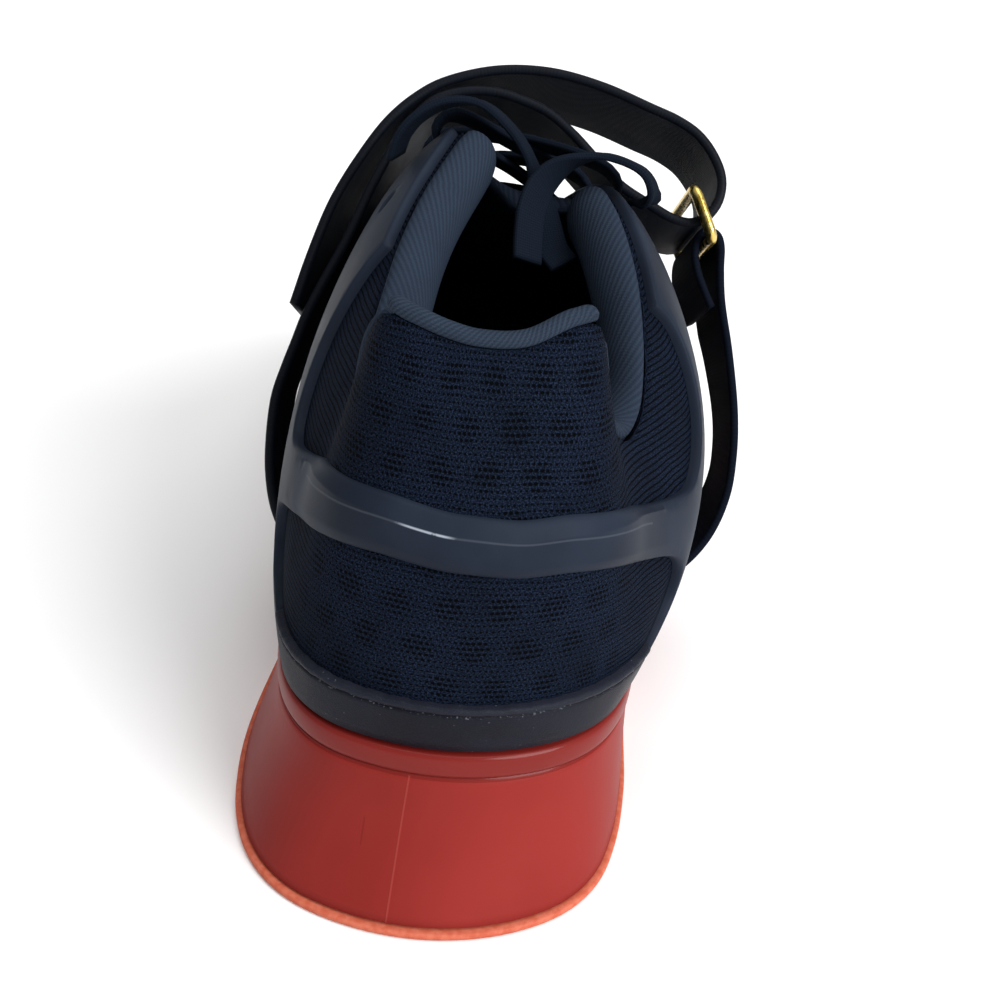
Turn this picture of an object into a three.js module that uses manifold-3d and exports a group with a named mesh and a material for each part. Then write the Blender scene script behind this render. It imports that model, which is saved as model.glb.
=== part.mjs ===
// A right-foot weightlifting shoe, in millimetres. +X is the outer side, +Y the toe, +Z up.
// The origin is on the floor under the middle of the heel.
import * as THREE from 'three';
import { mergeVertices } from 'three/addons/utils/BufferGeometryUtils.js';
import Module from 'manifold-3d';

const wasm = await Module();
wasm.setup();

// Driving sizes
const soleLength = 298;
const ballWidth = 104;
const heelHeight = 35; // top edge of the heel above the floor
const ballHeight = 16; // top edge of the sole at the ball
const toeSpring = 9;
const archLift = 2.5;
const heelSetback = 46; // from the back of the sole to the origin
const heelFlare = 9; // how far the heel spreads at the floor
const upperHeight = 78; // back collar edge above the heel's top edge
const outsoleThickness = 1.7;
const rimHeight = 5; // polished rim along the top of the heel
const rimStep = 0.6;
const ledge = 1.8; // sole's top edge outside the upper
const wall = 2;
const frameThickness = 1.8;
const randThickness = 1.2;
const randHeight = 10.5;
const guardHeight = 13;
const insoleThickness = 4;
const tongueThickness = 5;
const strapThickness = 2.2;
const anchorThickness = 1.8;
const ringBar = 2.6;
const ringSide = 3.8; // the ring's bars beside the strap are flattened to this width
const laceWidth = 7;
const laceThickness = 1.5;
const eyeletRadius = 2.1;
const bindingRadius = 1.5;
const gap = 0.3; // clearance between neighbouring pieces

const halfBall = ballWidth / 2;
const degree = Math.PI / 180;

// Soft lengths along the sole, as shares of soleLength
const slopeFrom = 0.18;
const slopeTo = 0.62;
const toeRiseFrom = 0.79;

function smooth(value) {
  const t = Math.min(1, Math.max(0, value));
  return t * t * (3 - 2 * t);
}

function shareAt(y) {
  return (y + heelSetback) / soleLength;
}

// Height of the sole's underside: flat heel, low arch, flat ball, raised toe
function groundZ(y) {
  const s = shareAt(y);
  const arch = smooth((s - 0.34) / 0.08) * smooth((0.56 - s) / 0.08);
  const toe = Math.max(0, (s - toeRiseFrom) / (1 - toeRiseFrom));
  return archLift * arch + toeSpring * toe ** 2;
}

// Height of the sole's top edge, which the upper stands on
function seatZ(y) {
  const s = shareAt(y);
  const fall = smooth((s - slopeFrom) / (slopeTo - slopeFrom));
  const toe = Math.max(0, (s - toeRiseFrom) / (1 - toeRiseFrom));
  return heelHeight + (ballHeight - heelHeight) * fall + 0.45 * toeSpring * toe ** 2;
}

// A point given as shares: across half the ball, along the sole, up the upper
function place(across, along, up) {
  const y = along * soleLength - heelSetback;
  return new THREE.Vector3(across * halfBall, y, seatZ(y) + up * upperHeight);
}

// A smooth closed function of the turn round the shoe: 0 is the back, 180 the toe,
// positive turns are the outer side and negative ones the inner side.
function aroundShoe(rows, outer, inner) {
  const knots = [
    ...rows.filter((row) => row.turn > 0 && row.turn < 180)
      .reverse().map((row) => [-row.turn, row[inner]]),
    ...rows.map((row) => [row.turn, row[outer]]),
  ];
  const count = knots.length;
  const knot = (i) => {
    const lap = Math.floor(i / count);
    const [at, value] = knots[i - lap * count];
    return [at + lap * 360, value];
  };
  const slope = (i) => {
    const [a, b, c] = [knot(i - 1), knot(i), knot(i + 1)];
    const before = (b[1] - a[1]) / (b[0] - a[0]);
    const after = (c[1] - b[1]) / (c[0] - b[0]);
    return (before * (c[0] - b[0]) + after * (b[0] - a[0])) / (c[0] - a[0]);
  };
  return (turn) => {
    const wrapped = turn > 180 ? turn - 360 : turn < -180 ? turn + 360 : turn;
    let i = knots.findLastIndex(([at]) => at <= wrapped);
    const [[x0, y0], [x1, y1]] = [knot(i), knot(i + 1)];
    const span = x1 - x0;
    const t = (wrapped - x0) / span;
    return (2 * t ** 3 - 3 * t ** 2 + 1) * y0 + (t ** 3 - 2 * t ** 2 + t) * span * slope(i)
      + (3 * t ** 2 - 2 * t ** 3) * y1 + (t ** 3 - t ** 2) * span * slope(i + 1);
  };
}

// Top edge of the sole: shares of half the ball width
const edgeRows = [
  { turn: 0, outer: 0, inner: 0 },
  { turn: 8, outer: 0.205, inner: -0.205 },
  { turn: 16, outer: 0.395, inner: -0.4 },
  { turn: 24, outer: 0.545, inner: -0.535 },
  { turn: 32, outer: 0.645, inner: -0.62 },
  { turn: 42, outer: 0.715, inner: -0.67 },
  { turn: 54, outer: 0.755, inner: -0.69 },
  { turn: 66, outer: 0.79, inner: -0.685 },
  { turn: 78, outer: 0.83, inner: -0.68 },
  { turn: 90, outer: 0.875, inner: -0.715 },
  { turn: 102, outer: 0.93, inner: -0.825 },
  { turn: 114, outer: 0.96, inner: -0.95 },
  { turn: 124, outer: 0.93, inner: -1.01 },
  { turn: 134, outer: 0.835, inner: -0.99 },
  { turn: 144, outer: 0.68, inner: -0.905 },
  { turn: 154, outer: 0.465, inner: -0.765 },
  { turn: 166, outer: 0.15, inner: -0.52 },
  { turn: 180, outer: -0.21, inner: -0.21 },
];
const edgeX = aroundShoe(edgeRows, 'outer', 'inner');

// Spread of the floor outline past the top edge: shares of heelFlare
const flareRows = [
  { turn: 0, outer: 1, inner: 1 },
  { turn: 16, outer: 0.78, inner: 1 },
  { turn: 32, outer: 0.3, inner: 0.86 },
  { turn: 48, outer: 0.16, inner: 0.76 },
  { turn: 66, outer: 0.16, inner: 0.42 },
  { turn: 90, outer: 0.2, inner: 0.24 },
  { turn: 130, outer: 0.2, inner: 0.2 },
  { turn: 180, outer: 0.16, inner: 0.16 },
];
const flareShare = aroundShoe(flareRows, 'outer', 'inner');

const edgeBack = -heelSetback + heelFlare;
const edgeToe = soleLength - heelSetback - 2;

function edgeRaw(turn) {
  const middle = (edgeBack + edgeToe) / 2;
  const reach = (edgeToe - edgeBack) / 2;
  return new THREE.Vector2(edgeX(turn) * halfBall, middle - reach * Math.cos(turn * degree));
}

function edgeNormal(turn) {
  const ahead = edgeRaw(turn + 1).sub(edgeRaw(turn - 1));
  return new THREE.Vector2(ahead.y, -ahead.x).normalize();
}

// The sole's top outline moved outwards by some millimetres
function outline(turn, outwards) {
  return edgeRaw(turn).addScaledVector(edgeNormal(turn), outwards);
}

// Edge of the upper's opening, then the ridge of the toe box: shares for place()
const throatEnd = 126;
const toplineRows = [
  { turn: 0, x: 0, y: 0.05, z: 0.955, innerX: 0, innerY: 0.05, innerZ: 0.955 },
  { turn: 7, x: 0.138, y: 0.052, z: 0.962, innerX: -0.11, innerY: 0.052, innerZ: 0.965 },
  { turn: 14, x: 0.285, y: 0.06, z: 1.005, innerX: -0.232, innerY: 0.059, innerZ: 0.984 },
  { turn: 18, x: 0.355, y: 0.069, z: 1, innerX: -0.305, innerY: 0.069, innerZ: 0.986 },
  { turn: 21, x: 0.392, y: 0.079, z: 0.94, innerX: -0.348, innerY: 0.081, innerZ: 0.935 },
  { turn: 24, x: 0.42, y: 0.09, z: 0.85, innerX: -0.382, innerY: 0.094, innerZ: 0.855 },
  { turn: 27, x: 0.455, y: 0.104, z: 0.745, innerX: -0.405, innerY: 0.108, innerZ: 0.765 },
  { turn: 31, x: 0.51, y: 0.122, z: 0.665, innerX: -0.416, innerY: 0.125, innerZ: 0.705 },
  { turn: 35, x: 0.562, y: 0.14, z: 0.64, innerX: -0.412, innerY: 0.143, innerZ: 0.722 },
  { turn: 40, x: 0.606, y: 0.162, z: 0.668, innerX: -0.396, innerY: 0.166, innerZ: 0.79 },
  { turn: 46, x: 0.617, y: 0.19, z: 0.76, innerX: -0.372, innerY: 0.195, innerZ: 0.862 },
  { turn: 52, x: 0.6, y: 0.222, z: 0.868, innerX: -0.345, innerY: 0.228, innerZ: 0.935 },
  { turn: 60, x: 0.56, y: 0.265, z: 0.975, innerX: -0.283, innerY: 0.27, innerZ: 1.045 },
  { turn: 68, x: 0.51, y: 0.308, z: 1.055, innerX: -0.2, innerY: 0.31, innerZ: 1.15 },
  { turn: 74, x: 0.455, y: 0.34, z: 1.105, innerX: -0.135, innerY: 0.34, innerZ: 1.225 },
  { turn: 80, x: 0.4, y: 0.376, z: 1.105, innerX: -0.15, innerY: 0.376, innerZ: 1.205 },
  { turn: 90, x: 0.325, y: 0.44, z: 1.06, innerX: -0.21, innerY: 0.44, innerZ: 1.13 },
  { turn: 100, x: 0.265, y: 0.503, z: 0.998, innerX: -0.24, innerY: 0.503, innerZ: 1.042 },
  { turn: 110, x: 0.215, y: 0.567, z: 0.91, innerX: -0.24, innerY: 0.567, innerZ: 0.936 },
  { turn: 118, x: 0.154, y: 0.617, z: 0.827, innerX: -0.202, innerY: 0.617, innerZ: 0.84 },
  { turn: throatEnd, x: -0.04, y: 0.668, z: 0.745, innerX: -0.04, innerY: 0.668, innerZ: 0.745 },
  { turn: 132, x: -0.09, y: 0.712, z: 0.672, innerX: -0.09, innerY: 0.712, innerZ: 0.672 },
  { turn: 142, x: -0.135, y: 0.785, z: 0.554, innerX: -0.135, innerY: 0.785, innerZ: 0.554 },
  { turn: 152, x: -0.173, y: 0.839, z: 0.463, innerX: -0.173, innerY: 0.839, innerZ: 0.463 },
  { turn: 162, x: -0.192, y: 0.869, z: 0.419, innerX: -0.192, innerY: 0.869, innerZ: 0.419 },
  { turn: 172, x: -0.2, y: 0.882, z: 0.401, innerX: -0.2, innerY: 0.882, innerZ: 0.401 },
  { turn: 180, x: -0.202, y: 0.886, z: 0.397, innerX: -0.202, innerY: 0.886, innerZ: 0.397 },
];
const topX = aroundShoe(toplineRows, 'x', 'innerX');
const topY = aroundShoe(toplineRows, 'y', 'innerY');
const topZ = aroundShoe(toplineRows, 'z', 'innerZ');

// How each rib of the last curves from the sole to the top edge.
// rise and drop are shares of the rib's height, reach of its width, swell and lean of halfBall.
const ribRows = [
  { turn: 0, rise: 0.33, swell: 0.1, inSwell: 0.1, reach: 0, lean: 0.13, inLean: 0.13, drop: 0.33 },
  { turn: 24, rise: 0.33, swell: 0.09, inSwell: 0.07, reach: 0, lean: 0.16, inLean: 0.11, drop: 0.33 },
  { turn: 38, rise: 0.36, swell: 0.165, inSwell: 0.07, reach: 0.25, lean: 0.2, inLean: 0.145, drop: 0.3 },
  { turn: 52, rise: 0.34, swell: 0.205, inSwell: 0.08, reach: 0.45, lean: 0.325, inLean: 0.19, drop: 0.28 },
  { turn: 66, rise: 0.34, swell: 0.16, inSwell: 0.1, reach: 0.5, lean: 0.27, inLean: 0.19, drop: 0.2 },
  { turn: 80, rise: 0.36, swell: 0.1, inSwell: 0.12, reach: 0.45, lean: 0.16, inLean: 0.16, drop: 0.13 },
  { turn: 100, rise: 0.42, swell: 0.05, inSwell: 0.05, reach: 0.42, lean: 0.1, inLean: 0.1, drop: 0.07 },
  { turn: throatEnd, rise: 0.5, swell: 0.02, inSwell: 0.02, reach: 0.5, lean: 0, inLean: 0, drop: 0.01 },
  { turn: 152, rise: 0.58, swell: 0, inSwell: 0, reach: 0.56, lean: 0, inLean: 0, drop: 0 },
  { turn: 180, rise: 0.6, swell: 0, inSwell: 0, reach: 0.56, lean: 0, inLean: 0, drop: 0 },
];
const rib = {
  rise: aroundShoe(ribRows, 'rise', 'rise'),
  swell: aroundShoe(ribRows, 'swell', 'inSwell'),
  reach: aroundShoe(ribRows, 'reach', 'reach'),
  lean: aroundShoe(ribRows, 'lean', 'inLean'),
  drop: aroundShoe(ribRows, 'drop', 'drop'),
};

// The last's surface: t runs from the sole (0) to the top edge (1) along a rib
function lastPoint(turn, t) {
  const foot = outline(turn, -ledge);
  const footZ = seatZ(foot.y) + 2 * gap;
  const out = edgeNormal(turn);
  const top = place(topX(turn), topY(turn), topZ(turn));
  const height = top.z - footZ;
  const [swell, lean, reach] = [rib.swell(turn) * halfBall, rib.lean(turn) * halfBall, rib.reach(turn)];
  const p0 = new THREE.Vector3(foot.x, foot.y, footZ);
  const p1 = new THREE.Vector3(
    foot.x + out.x * swell, foot.y + out.y * swell, footZ + rib.rise(turn) * height);
  const p2 = new THREE.Vector3(
    top.x + (foot.x - top.x) * reach + out.x * lean,
    top.y + (foot.y - top.y) * reach + out.y * lean,
    top.z - rib.drop(turn) * height);
  const u = 1 - t;
  return p0.multiplyScalar(u ** 3).addScaledVector(p1, 3 * u * u * t)
    .addScaledVector(p2, 3 * u * t * t).addScaledVector(top, t ** 3);
}

function rawNormal(turn, t) {
  const low = Math.max(0, t - 0.01);
  const high = Math.min(1, t + 0.01);
  const along = lastPoint(turn + 0.5, t).sub(lastPoint(turn - 0.5, t));
  const up = lastPoint(turn, high).sub(lastPoint(turn, low));
  return along.cross(up).normalize();
}

function lastNormal(turn, t) {
  const normal = rawNormal(turn, t);
  if (t < 1 || Math.abs(turn) < throatEnd) return normal;
  return normal.add(rawNormal(-turn, t)).normalize(); // one normal along the toe ridge
}

// A point off the last, outwards if off is positive
function offLast(turn, t, off) {
  return lastPoint(turn, t).addScaledVector(lastNormal(turn, t), off);
}

// Meshes from points and faces
function solidGeometry(points, faces) {
  const geometry = new THREE.BufferGeometry();
  geometry.setAttribute('position', new THREE.Float32BufferAttribute(
    points.flatMap((p) => [p.x, p.y, p.z]), 3));
  geometry.setIndex(faces.flat());
  return mergeVertices(geometry, 1e-4);
}

// A closed body from a grid of points: rows of equal length, each row a closed loop
function loopLoft(rows) {
  const points = rows.flat();
  const width = rows[0].length;
  const faces = [];
  for (let r = 0; r + 1 < rows.length; r += 1) {
    for (let c = 0; c < width; c += 1) {
      const [a, b] = [r * width + c, r * width + (c + 1) % width];
      faces.push([a, b, b + width], [a, b + width, a + width]);
    }
  }
  const last = (rows.length - 1) * width;
  const ends = THREE.ShapeUtils.triangulateShape(rows[0].map((_, i) => new THREE.Vector2(
    Math.cos(i / width * 2 * Math.PI), Math.sin(i / width * 2 * Math.PI))), []);
  for (const [a, b, c] of ends) {
    faces.push([c, b, a], [a + last, b + last, c + last]);
  }
  return outwards(solidGeometry(points, faces));
}

// Turns every face over if the body's volume came out negative
function outwards(geometry) {
  const p = geometry.attributes.position;
  const index = geometry.index.array;
  const [a, b, c] = [new THREE.Vector3(), new THREE.Vector3(), new THREE.Vector3()];
  let volume = 0;
  for (let i = 0; i < index.length; i += 3) {
    a.fromBufferAttribute(p, index[i]);
    b.fromBufferAttribute(p, index[i + 1]);
    c.fromBufferAttribute(p, index[i + 2]);
    volume += a.dot(b.cross(c));
  }
  if (volume < 0) {
    for (let i = 0; i < index.length; i += 3) {
      [index[i + 1], index[i + 2]] = [index[i + 2], index[i + 1]];
    }
  }
  return geometry;
}

// Like loopLoft, for long thin sections whose second half runs back beside the first
function gridBody(sections) {
  const width = sections[0].length;
  const half = width / 2;
  const faces = [];
  for (let r = 0; r + 1 < sections.length; r += 1) {
    for (let c = 0; c < width; c += 1) {
      const [a, b] = [r * width + c, r * width + (c + 1) % width];
      faces.push([a, b, b + width], [a, b + width, a + width]);
    }
  }
  const last = (sections.length - 1) * width;
  for (let c = 0; c + 1 < half; c += 1) {
    const [a, b, d, e] = [c, c + 1, width - 2 - c, width - 1 - c];
    faces.push([a, d, b], [a, e, d]);
    faces.push([a + last, b + last, d + last], [a + last, d + last, e + last]);
  }
  return outwards(solidGeometry(sections.flat(), faces));
}

// Booleans
function toManifold(geometry) {
  const bare = new THREE.BufferGeometry();
  bare.setAttribute('position', geometry.attributes.position.clone());
  bare.setIndex(geometry.index ? [...geometry.index.array] : null);
  const merged = mergeVertices(bare, 1e-4);
  return new wasm.Manifold(new wasm.Mesh({
    numProp: 3,
    vertProperties: new Float32Array(merged.attributes.position.array),
    triVerts: new Uint32Array(merged.index.array),
  }));
}

function fromManifold(solid) {
  const mesh = solid.getMesh();
  const geometry = new THREE.BufferGeometry();
  geometry.setAttribute('position', new THREE.Float32BufferAttribute(mesh.vertProperties, 3));
  geometry.setIndex([...mesh.triVerts]);
  return geometry;
}

const turnsRound = [];
const stationGaps = [{ upTo: 60, step: 4 }, { upTo: throatEnd, step: 6 }, { upTo: 180, step: 9 }];
for (let turn = 0; turn < 180;) {
  turnsRound.push(turn);
  turn += stationGaps.find(({ upTo }) => turn < upTo).step;
}
turnsRound.unshift(-180, ...turnsRound.filter((turn) => turn > 0).map((turn) => -turn).reverse());

// The upper: one hollow wall round the foot, open at the collar and throat and underneath,
// closed over the toe box where both sides share one ridge.
function upperWall(inner, outer, tRows) {
  const points = [];
  const faces = [];
  const width = (tRows + 1) * 2;
  for (const turn of turnsRound) {
    for (let r = 0; r <= tRows; r += 1) points.push(offLast(turn, r / tRows, outer));
    for (let r = 0; r <= tRows; r += 1) points.push(offLast(turn, r / tRows, inner));
  }
  const count = turnsRound.length;
  for (let i = 0; i < count; i += 1) {
    const j = (i + 1) % count;
    const [a, b] = [i * width, j * width];
    const closed = Math.min(Math.abs(turnsRound[i]), Math.abs(turnsRound[j])) >= throatEnd - 0.01;
    for (let r = 0; r < tRows; r += 1) {
      faces.push([a + r, b + r, b + r + 1], [a + r, b + r + 1, a + r + 1]);
      const [c, d] = [a + tRows + 1 + r, b + tRows + 1 + r];
      faces.push([c, d + 1, d], [c, c + 1, d + 1]);
    }
    faces.push([a, a + tRows + 1, b + tRows + 1], [a, b + tRows + 1, b]);
    if (!closed) {
      const [e, f] = [a + tRows, b + tRows];
      const [g, h] = [a + 2 * tRows + 1, b + 2 * tRows + 1];
      faces.push([e, f, h], [e, h, g]);
    }
  }
  return outwards(solidGeometry(points, faces));
}

// A body round the whole shoe: rings from the bottom to the top, capped across at both ends
function stackedRings(rings) {
  const count = turnsRound.length;
  const mirror = (i) => (count - i) % count;
  const faces = [];
  for (let r = 0; r + 1 < rings.length; r += 1) {
    for (let i = 0; i < count; i += 1) {
      const [a, b] = [r * count + i, r * count + (i + 1) % count];
      faces.push([a, b, b + count], [a, b + count, a + count]);
    }
  }
  const top = (rings.length - 1) * count;
  for (let i = 0; i < count / 2; i += 1) {
    const [a, b, c, d] = [i, i + 1, mirror(i + 1), mirror(i)];
    faces.push([a, c, b], [a, d, c]);
    faces.push([a + top, b + top, c + top], [a + top, c + top, d + top]);
  }
  return outwards(dropSlivers(solidGeometry(rings.flat(), faces)));
}

// Takes out the faces that merging has folded to a line
function dropSlivers(geometry) {
  const index = geometry.index.array;
  const kept = [];
  for (let i = 0; i < index.length; i += 3) {
    const [a, b, c] = index.slice(i, i + 3);
    if (a !== b && b !== c && a !== c) kept.push(a, b, c);
  }
  geometry.setIndex(kept);
  return geometry;
}

const ring = (outwardsBy, z) => turnsRound.map((turn) => {
  const flat = outline(turn, typeof outwardsBy === 'function' ? outwardsBy(turn) : outwardsBy);
  return new THREE.Vector3(flat.x, flat.y, z(flat.y));
});

// Sole
const flareAt = (turn) => flareShare(turn) * heelFlare;
const outsole = stackedRings([
  ring((turn) => flareAt(turn) - 1, groundZ),
  ring((turn) => flareAt(turn) + 0.4, (y) => groundZ(y) + 0.8),
  ring((turn) => flareAt(turn) + 0.4, (y) => groundZ(y) + outsoleThickness),
]);

const soleTop = (y) => seatZ(y) - gap;
const soleBottom = (y) => groundZ(y) + outsoleThickness + gap;
const wallCurve = [
  { up: 0, share: 0.98 }, { up: 0.18, share: 0.74 }, { up: 0.4, share: 0.45 }, { up: 0.68, share: 0.17 },
  { up: 1, share: 0.04 },
];
const heelUnit = stackedRings([
  ...wallCurve.map(({ up, share }) => ring(
    (turn) => flareAt(turn) * share - rimStep,
    (y) => soleBottom(y) + (soleTop(y) - rimHeight - soleBottom(y)) * up)),
  ring(0, (y) => soleTop(y) - rimHeight + 0.7),
  ring(0, (y) => soleTop(y) - 1),
  ring(-0.9, soleTop),
]);

// Upper
const upperBody = upperWall(-wall, 0, 8);

function tAtHeight(turn, height) {
  const base = lastPoint(turn, 0).z;
  let [low, high] = [0, 1];
  for (let i = 0; i < 24; i += 1) {
    const middle = (low + high) / 2;
    if (lastPoint(turn, middle).z - base < height) low = middle;
    else high = middle;
  }
  return (low + high) / 2;
}

// Rear edge of the frame's feet: distance along the shoe, then height
const footRear = [[-9, 46.5], [-12, 41], [-15, 35], [-17, 20]];
function footRearAt(height) {
  const found = footRear.findIndex(([, z]) => z <= height);
  const i = Math.max(1, found < 0 ? footRear.length - 1 : found);
  const [[yHigh, zHigh], [yLow, zLow]] = [footRear[i - 1], footRear[i]];
  return yLow + (yHigh - yLow) * (height - zLow) / (zHigh - zLow);
}

// Rand: each row of its ends stops that far short of the frame's foot
const randClear = 1;
const randRows = [0, 1, 2, 3];
const randT = (turn, row) => 0.006 + (tAtHeight(turn, randHeight) - 0.006) * row / 3;
function randEnd(side, row) {
  let [low, high] = [10, 60];
  for (let i = 0; i < 24; i += 1) {
    const turn = (low + high) / 2;
    const spot = offLast(side * turn, randT(side * turn, row), gap + randThickness);
    if (spot.y < footRearAt(spot.z) - randClear) low = turn;
    else high = turn;
  }
  return low;
}
const randEnds = [-1, 1].map((side) => randRows.map((row) => randEnd(side, row)));
const randBody = gridBody(Array.from({ length: 25 }, (_, i) => {
  const share = i / 12 - 1;
  const spots = randRows.map((row) => {
    const turn = share * randEnds[share < 0 ? 0 : 1][row];
    return [turn, randT(turn, row)];
  });
  return [
    ...spots.map(([turn, t]) => offLast(turn, t, gap + randThickness)),
    ...spots.slice().reverse().map(([turn, t]) => offLast(turn, t, gap)),
  ];
}));

// Frame: the heel band with an arm up to the laces and one down to the sole on each side.
// Outlines are seen from the side: distance along the shoe, then height.
const frameOuter = [
  [-60, 73.6], [-38.5, 73.4], [-36.4, 72.9], [-31, 71.8], [-18.5, 67.3], [-8.3, 63.3], [-5.2, 61],
  [-3.3, 57.5], [-3.2, 53], [-5.2, 50], ...footRear, [34, 20],
  [29, 44], [27, 58], [34, 72], [48, 88], [62, 99], [76, 106], [90, 110], [90, 140], [20, 140],
  [20, 103.5], [21.5, 98], [20.5, 93.5], [18.5, 88.6], [16, 83.6], [12.5, 79], [8, 75], [3.5, 72.8],
  [-2, 72.9], [-9.6, 74.7], [-20, 78.8], [-31.5, 82.6], [-36, 83.4], [-60, 83.9],
];
const frameInner = [
  [-60, 73.6], [-38.5, 73.9], [-36.3, 73.7], [-30.2, 72.7], [-10.3, 66.4], [-1, 63.4], [2.5, 61.5],
  [4.4, 58], [4, 53], [0, 48.6], ...footRear, [34, 20], [29, 46],
  [27, 62], [34, 78], [48, 94], [62, 104], [76, 110], [90, 114], [90, 150], [24.5, 150], [24.5, 110],
  [24, 104], [22.5, 99], [20, 92.5], [16.5, 85.4], [13, 79.6], [9, 75.6], [4.5, 74.3], [-1, 75.3],
  [-7, 77.2], [-16, 80.8], [-25.9, 83.5], [-32.6, 84.3], [-37, 84], [-60, 83.9],
];

function sidePrism(pointsYZ, fromX, toX) {
  const shape = new THREE.Shape(pointsYZ.map(([y, z]) => new THREE.Vector2(y, z)));
  const geometry = new THREE.ExtrudeGeometry(shape, { depth: toX - fromX, bevelEnabled: false, steps: 1 });
  geometry.applyMatrix4(new THREE.Matrix4().set(
    0, 0, 1, fromX,
    1, 0, 0, 0,
    0, 1, 0, 0,
    0, 0, 0, 1));
  geometry.deleteAttribute('normal');
  geometry.deleteAttribute('uv');
  return geometry;
}

// A slab round the heel, on the upper's own stations, that the frame's outlines are cut from
const upperRows = 8;
function slab(inner, outer, reachTurn, lowT, highT) {
  const rowsAt = Array.from({ length: upperRows + 1 }, (_, r) => (
    Math.min(highT, Math.max(lowT, r / upperRows))));
  return toManifold(gridBody(turnsRound.filter((turn) => Math.abs(turn) <= reachTurn).map((turn) => [
    ...rowsAt.map((t) => offLast(turn, t, outer)),
    ...rowsAt.slice().reverse().map((t) => offLast(turn, t, inner)),
  ])));
}

const frameSlab = slab(gap, gap + frameThickness, 90, 0.006, 0.985);
let frameSolid = frameSlab.intersect(
  toManifold(sidePrism(frameOuter, 0, 90)).add(toManifold(sidePrism(frameInner, -90, 0))));

// Eyelets: round holes square to the surface
const eyelets = [
  { turn: 77, t: 0.935 }, { turn: 87, t: 0.93 }, { turn: 97, t: 0.92 }, { turn: 107, t: 0.905 },
  { turn: 117, t: 0.89 },
];
const spareEyelet = { turn: 66, t: 0.86 };

function pin(turn, t, radius, from, to) {
  const geometry = new THREE.CylinderGeometry(radius, radius, to - from, 8);
  geometry.deleteAttribute('normal');
  geometry.deleteAttribute('uv');
  const normal = lastNormal(turn, t);
  const middle = offLast(turn, t, (from + to) / 2);
  geometry.applyQuaternion(new THREE.Quaternion().setFromUnitVectors(
    new THREE.Vector3(0, 1, 0), normal));
  geometry.translate(middle.x, middle.y, middle.z);
  return toManifold(geometry);
}

const holes = [spareEyelet, ...eyelets].flatMap(({ turn, t }) => [
  pin(turn, t, eyeletRadius, -6, 6), pin(-turn, t, eyeletRadius, -6, 6)]);
let upperSolid = toManifold(upperBody);
for (const hole of holes) {
  upperSolid = upperSolid.subtract(hole);
  frameSolid = frameSolid.subtract(hole);
}

// Toe guard: a strip round the forefoot just above the sole
const guardFrom = 96;
const guardBody = (() => {
  const sections = [];
  const steps = 24;
  for (let i = 0; i <= steps; i += 1) {
    let turn = guardFrom + (360 - 2 * guardFrom) * i / steps;
    if (turn > 180) turn -= 360;
    const ends = Math.min(1, Math.min(i, steps - i) / 5);
    const high = tAtHeight(turn, 4 + (guardHeight - 4) * smooth(ends));
    const loop = [];
    const spot = (r, off) => offLast(turn, 0.008 + (high - 0.008) * r / 3, off);
    for (let r = 0; r <= 3; r += 1) loop.push(spot(r, gap + randThickness));
    for (let r = 3; r >= 0; r -= 1) loop.push(spot(r, gap));
    sections.push(loop);
  }
  return gridBody(sections);
})();

// Bands and cords: a closed section carried along a path
function carry(path, section, across) {
  const sections = path.map((point, i) => {
    const ahead = path[Math.min(i + 1, path.length - 1)];
    const behind = path[Math.max(i - 1, 0)];
    const tangent = ahead.clone().sub(behind).normalize();
    const wide = across(i).clone().addScaledVector(tangent, -across(i).dot(tangent)).normalize();
    const thick = tangent.clone().cross(wide);
    return section(i).map(([a, b]) => point.clone().addScaledVector(wide, a).addScaledVector(thick, b));
  });
  return loopLoft(sections);
}

function bandSection(width, thickness) {
  const [w, h] = [width / 2, thickness / 2];
  return [[-w, -h], [w, -h], [w, h], [-w, h]];
}

function smoothPath(points, count) {
  return new THREE.CatmullRomCurve3(points.map(([x, y, z]) => new THREE.Vector3(x, y, z)),
    false, 'centripetal').getSpacedPoints(count);
}

// Collar: padded rolls that fill the notches and line the opening.
// down is millimetres below the upper's edge, in is millimetres inside the wall.
const rollTurns = [20, 20.6, 22, 24, 28, 32, 36, 40, 44, 48, 52, 56, 60, 66, 70, 72.4, 73.4, 73.8];
const rollSection = [
  { down: 15, in: 0 }, { down: 8, in: 0 }, { down: 0.6, in: 0 },
  { over: 0.8, out: -1.3 }, { over: 0.9, out: -0.2 }, { over: 2.4, out: 0.6 }, { over: 4.4, out: -0.4 },
  { over: 5.8, out: -3.4 }, { over: 5.4, out: -7 }, { over: 2.6, out: -10.6 }, { down: 3, in: 9.2 },
  { down: 9, in: 6.8 }, { down: 14, in: 2.4 },
];
function rollBody(side) {
  const inside = -wall - gap - 0.5;
  return loopLoft(rollTurns.map((at, i) => {
    const turn = side * at;
    const edge = offLast(turn, 1, 0);
    const ribLength = lastPoint(turn, 1).distanceTo(lastPoint(turn, 0.8)) / 0.2;
    const normal = lastNormal(turn, 0.98);
    const up = edge.clone().sub(lastPoint(turn, 0.95)).normalize();
    const full = [0.25, 0.62, 0.88][Math.min(i, rollTurns.length - 1 - i)] ?? 1;
    return rollSection.map((spot) => (spot.down === undefined
      ? edge.clone().addScaledVector(normal, inside + (spot.out - inside) * full)
        .addScaledVector(up, 0.8 * (1 - full) + spot.over * full)
      : offLast(turn, 1 - spot.down * (0.3 + 0.7 * full) / ribLength, inside - spot.in * full)));
  }));
}
const rollOuter = rollBody(1);
const rollInner = rollBody(-1);

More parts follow.
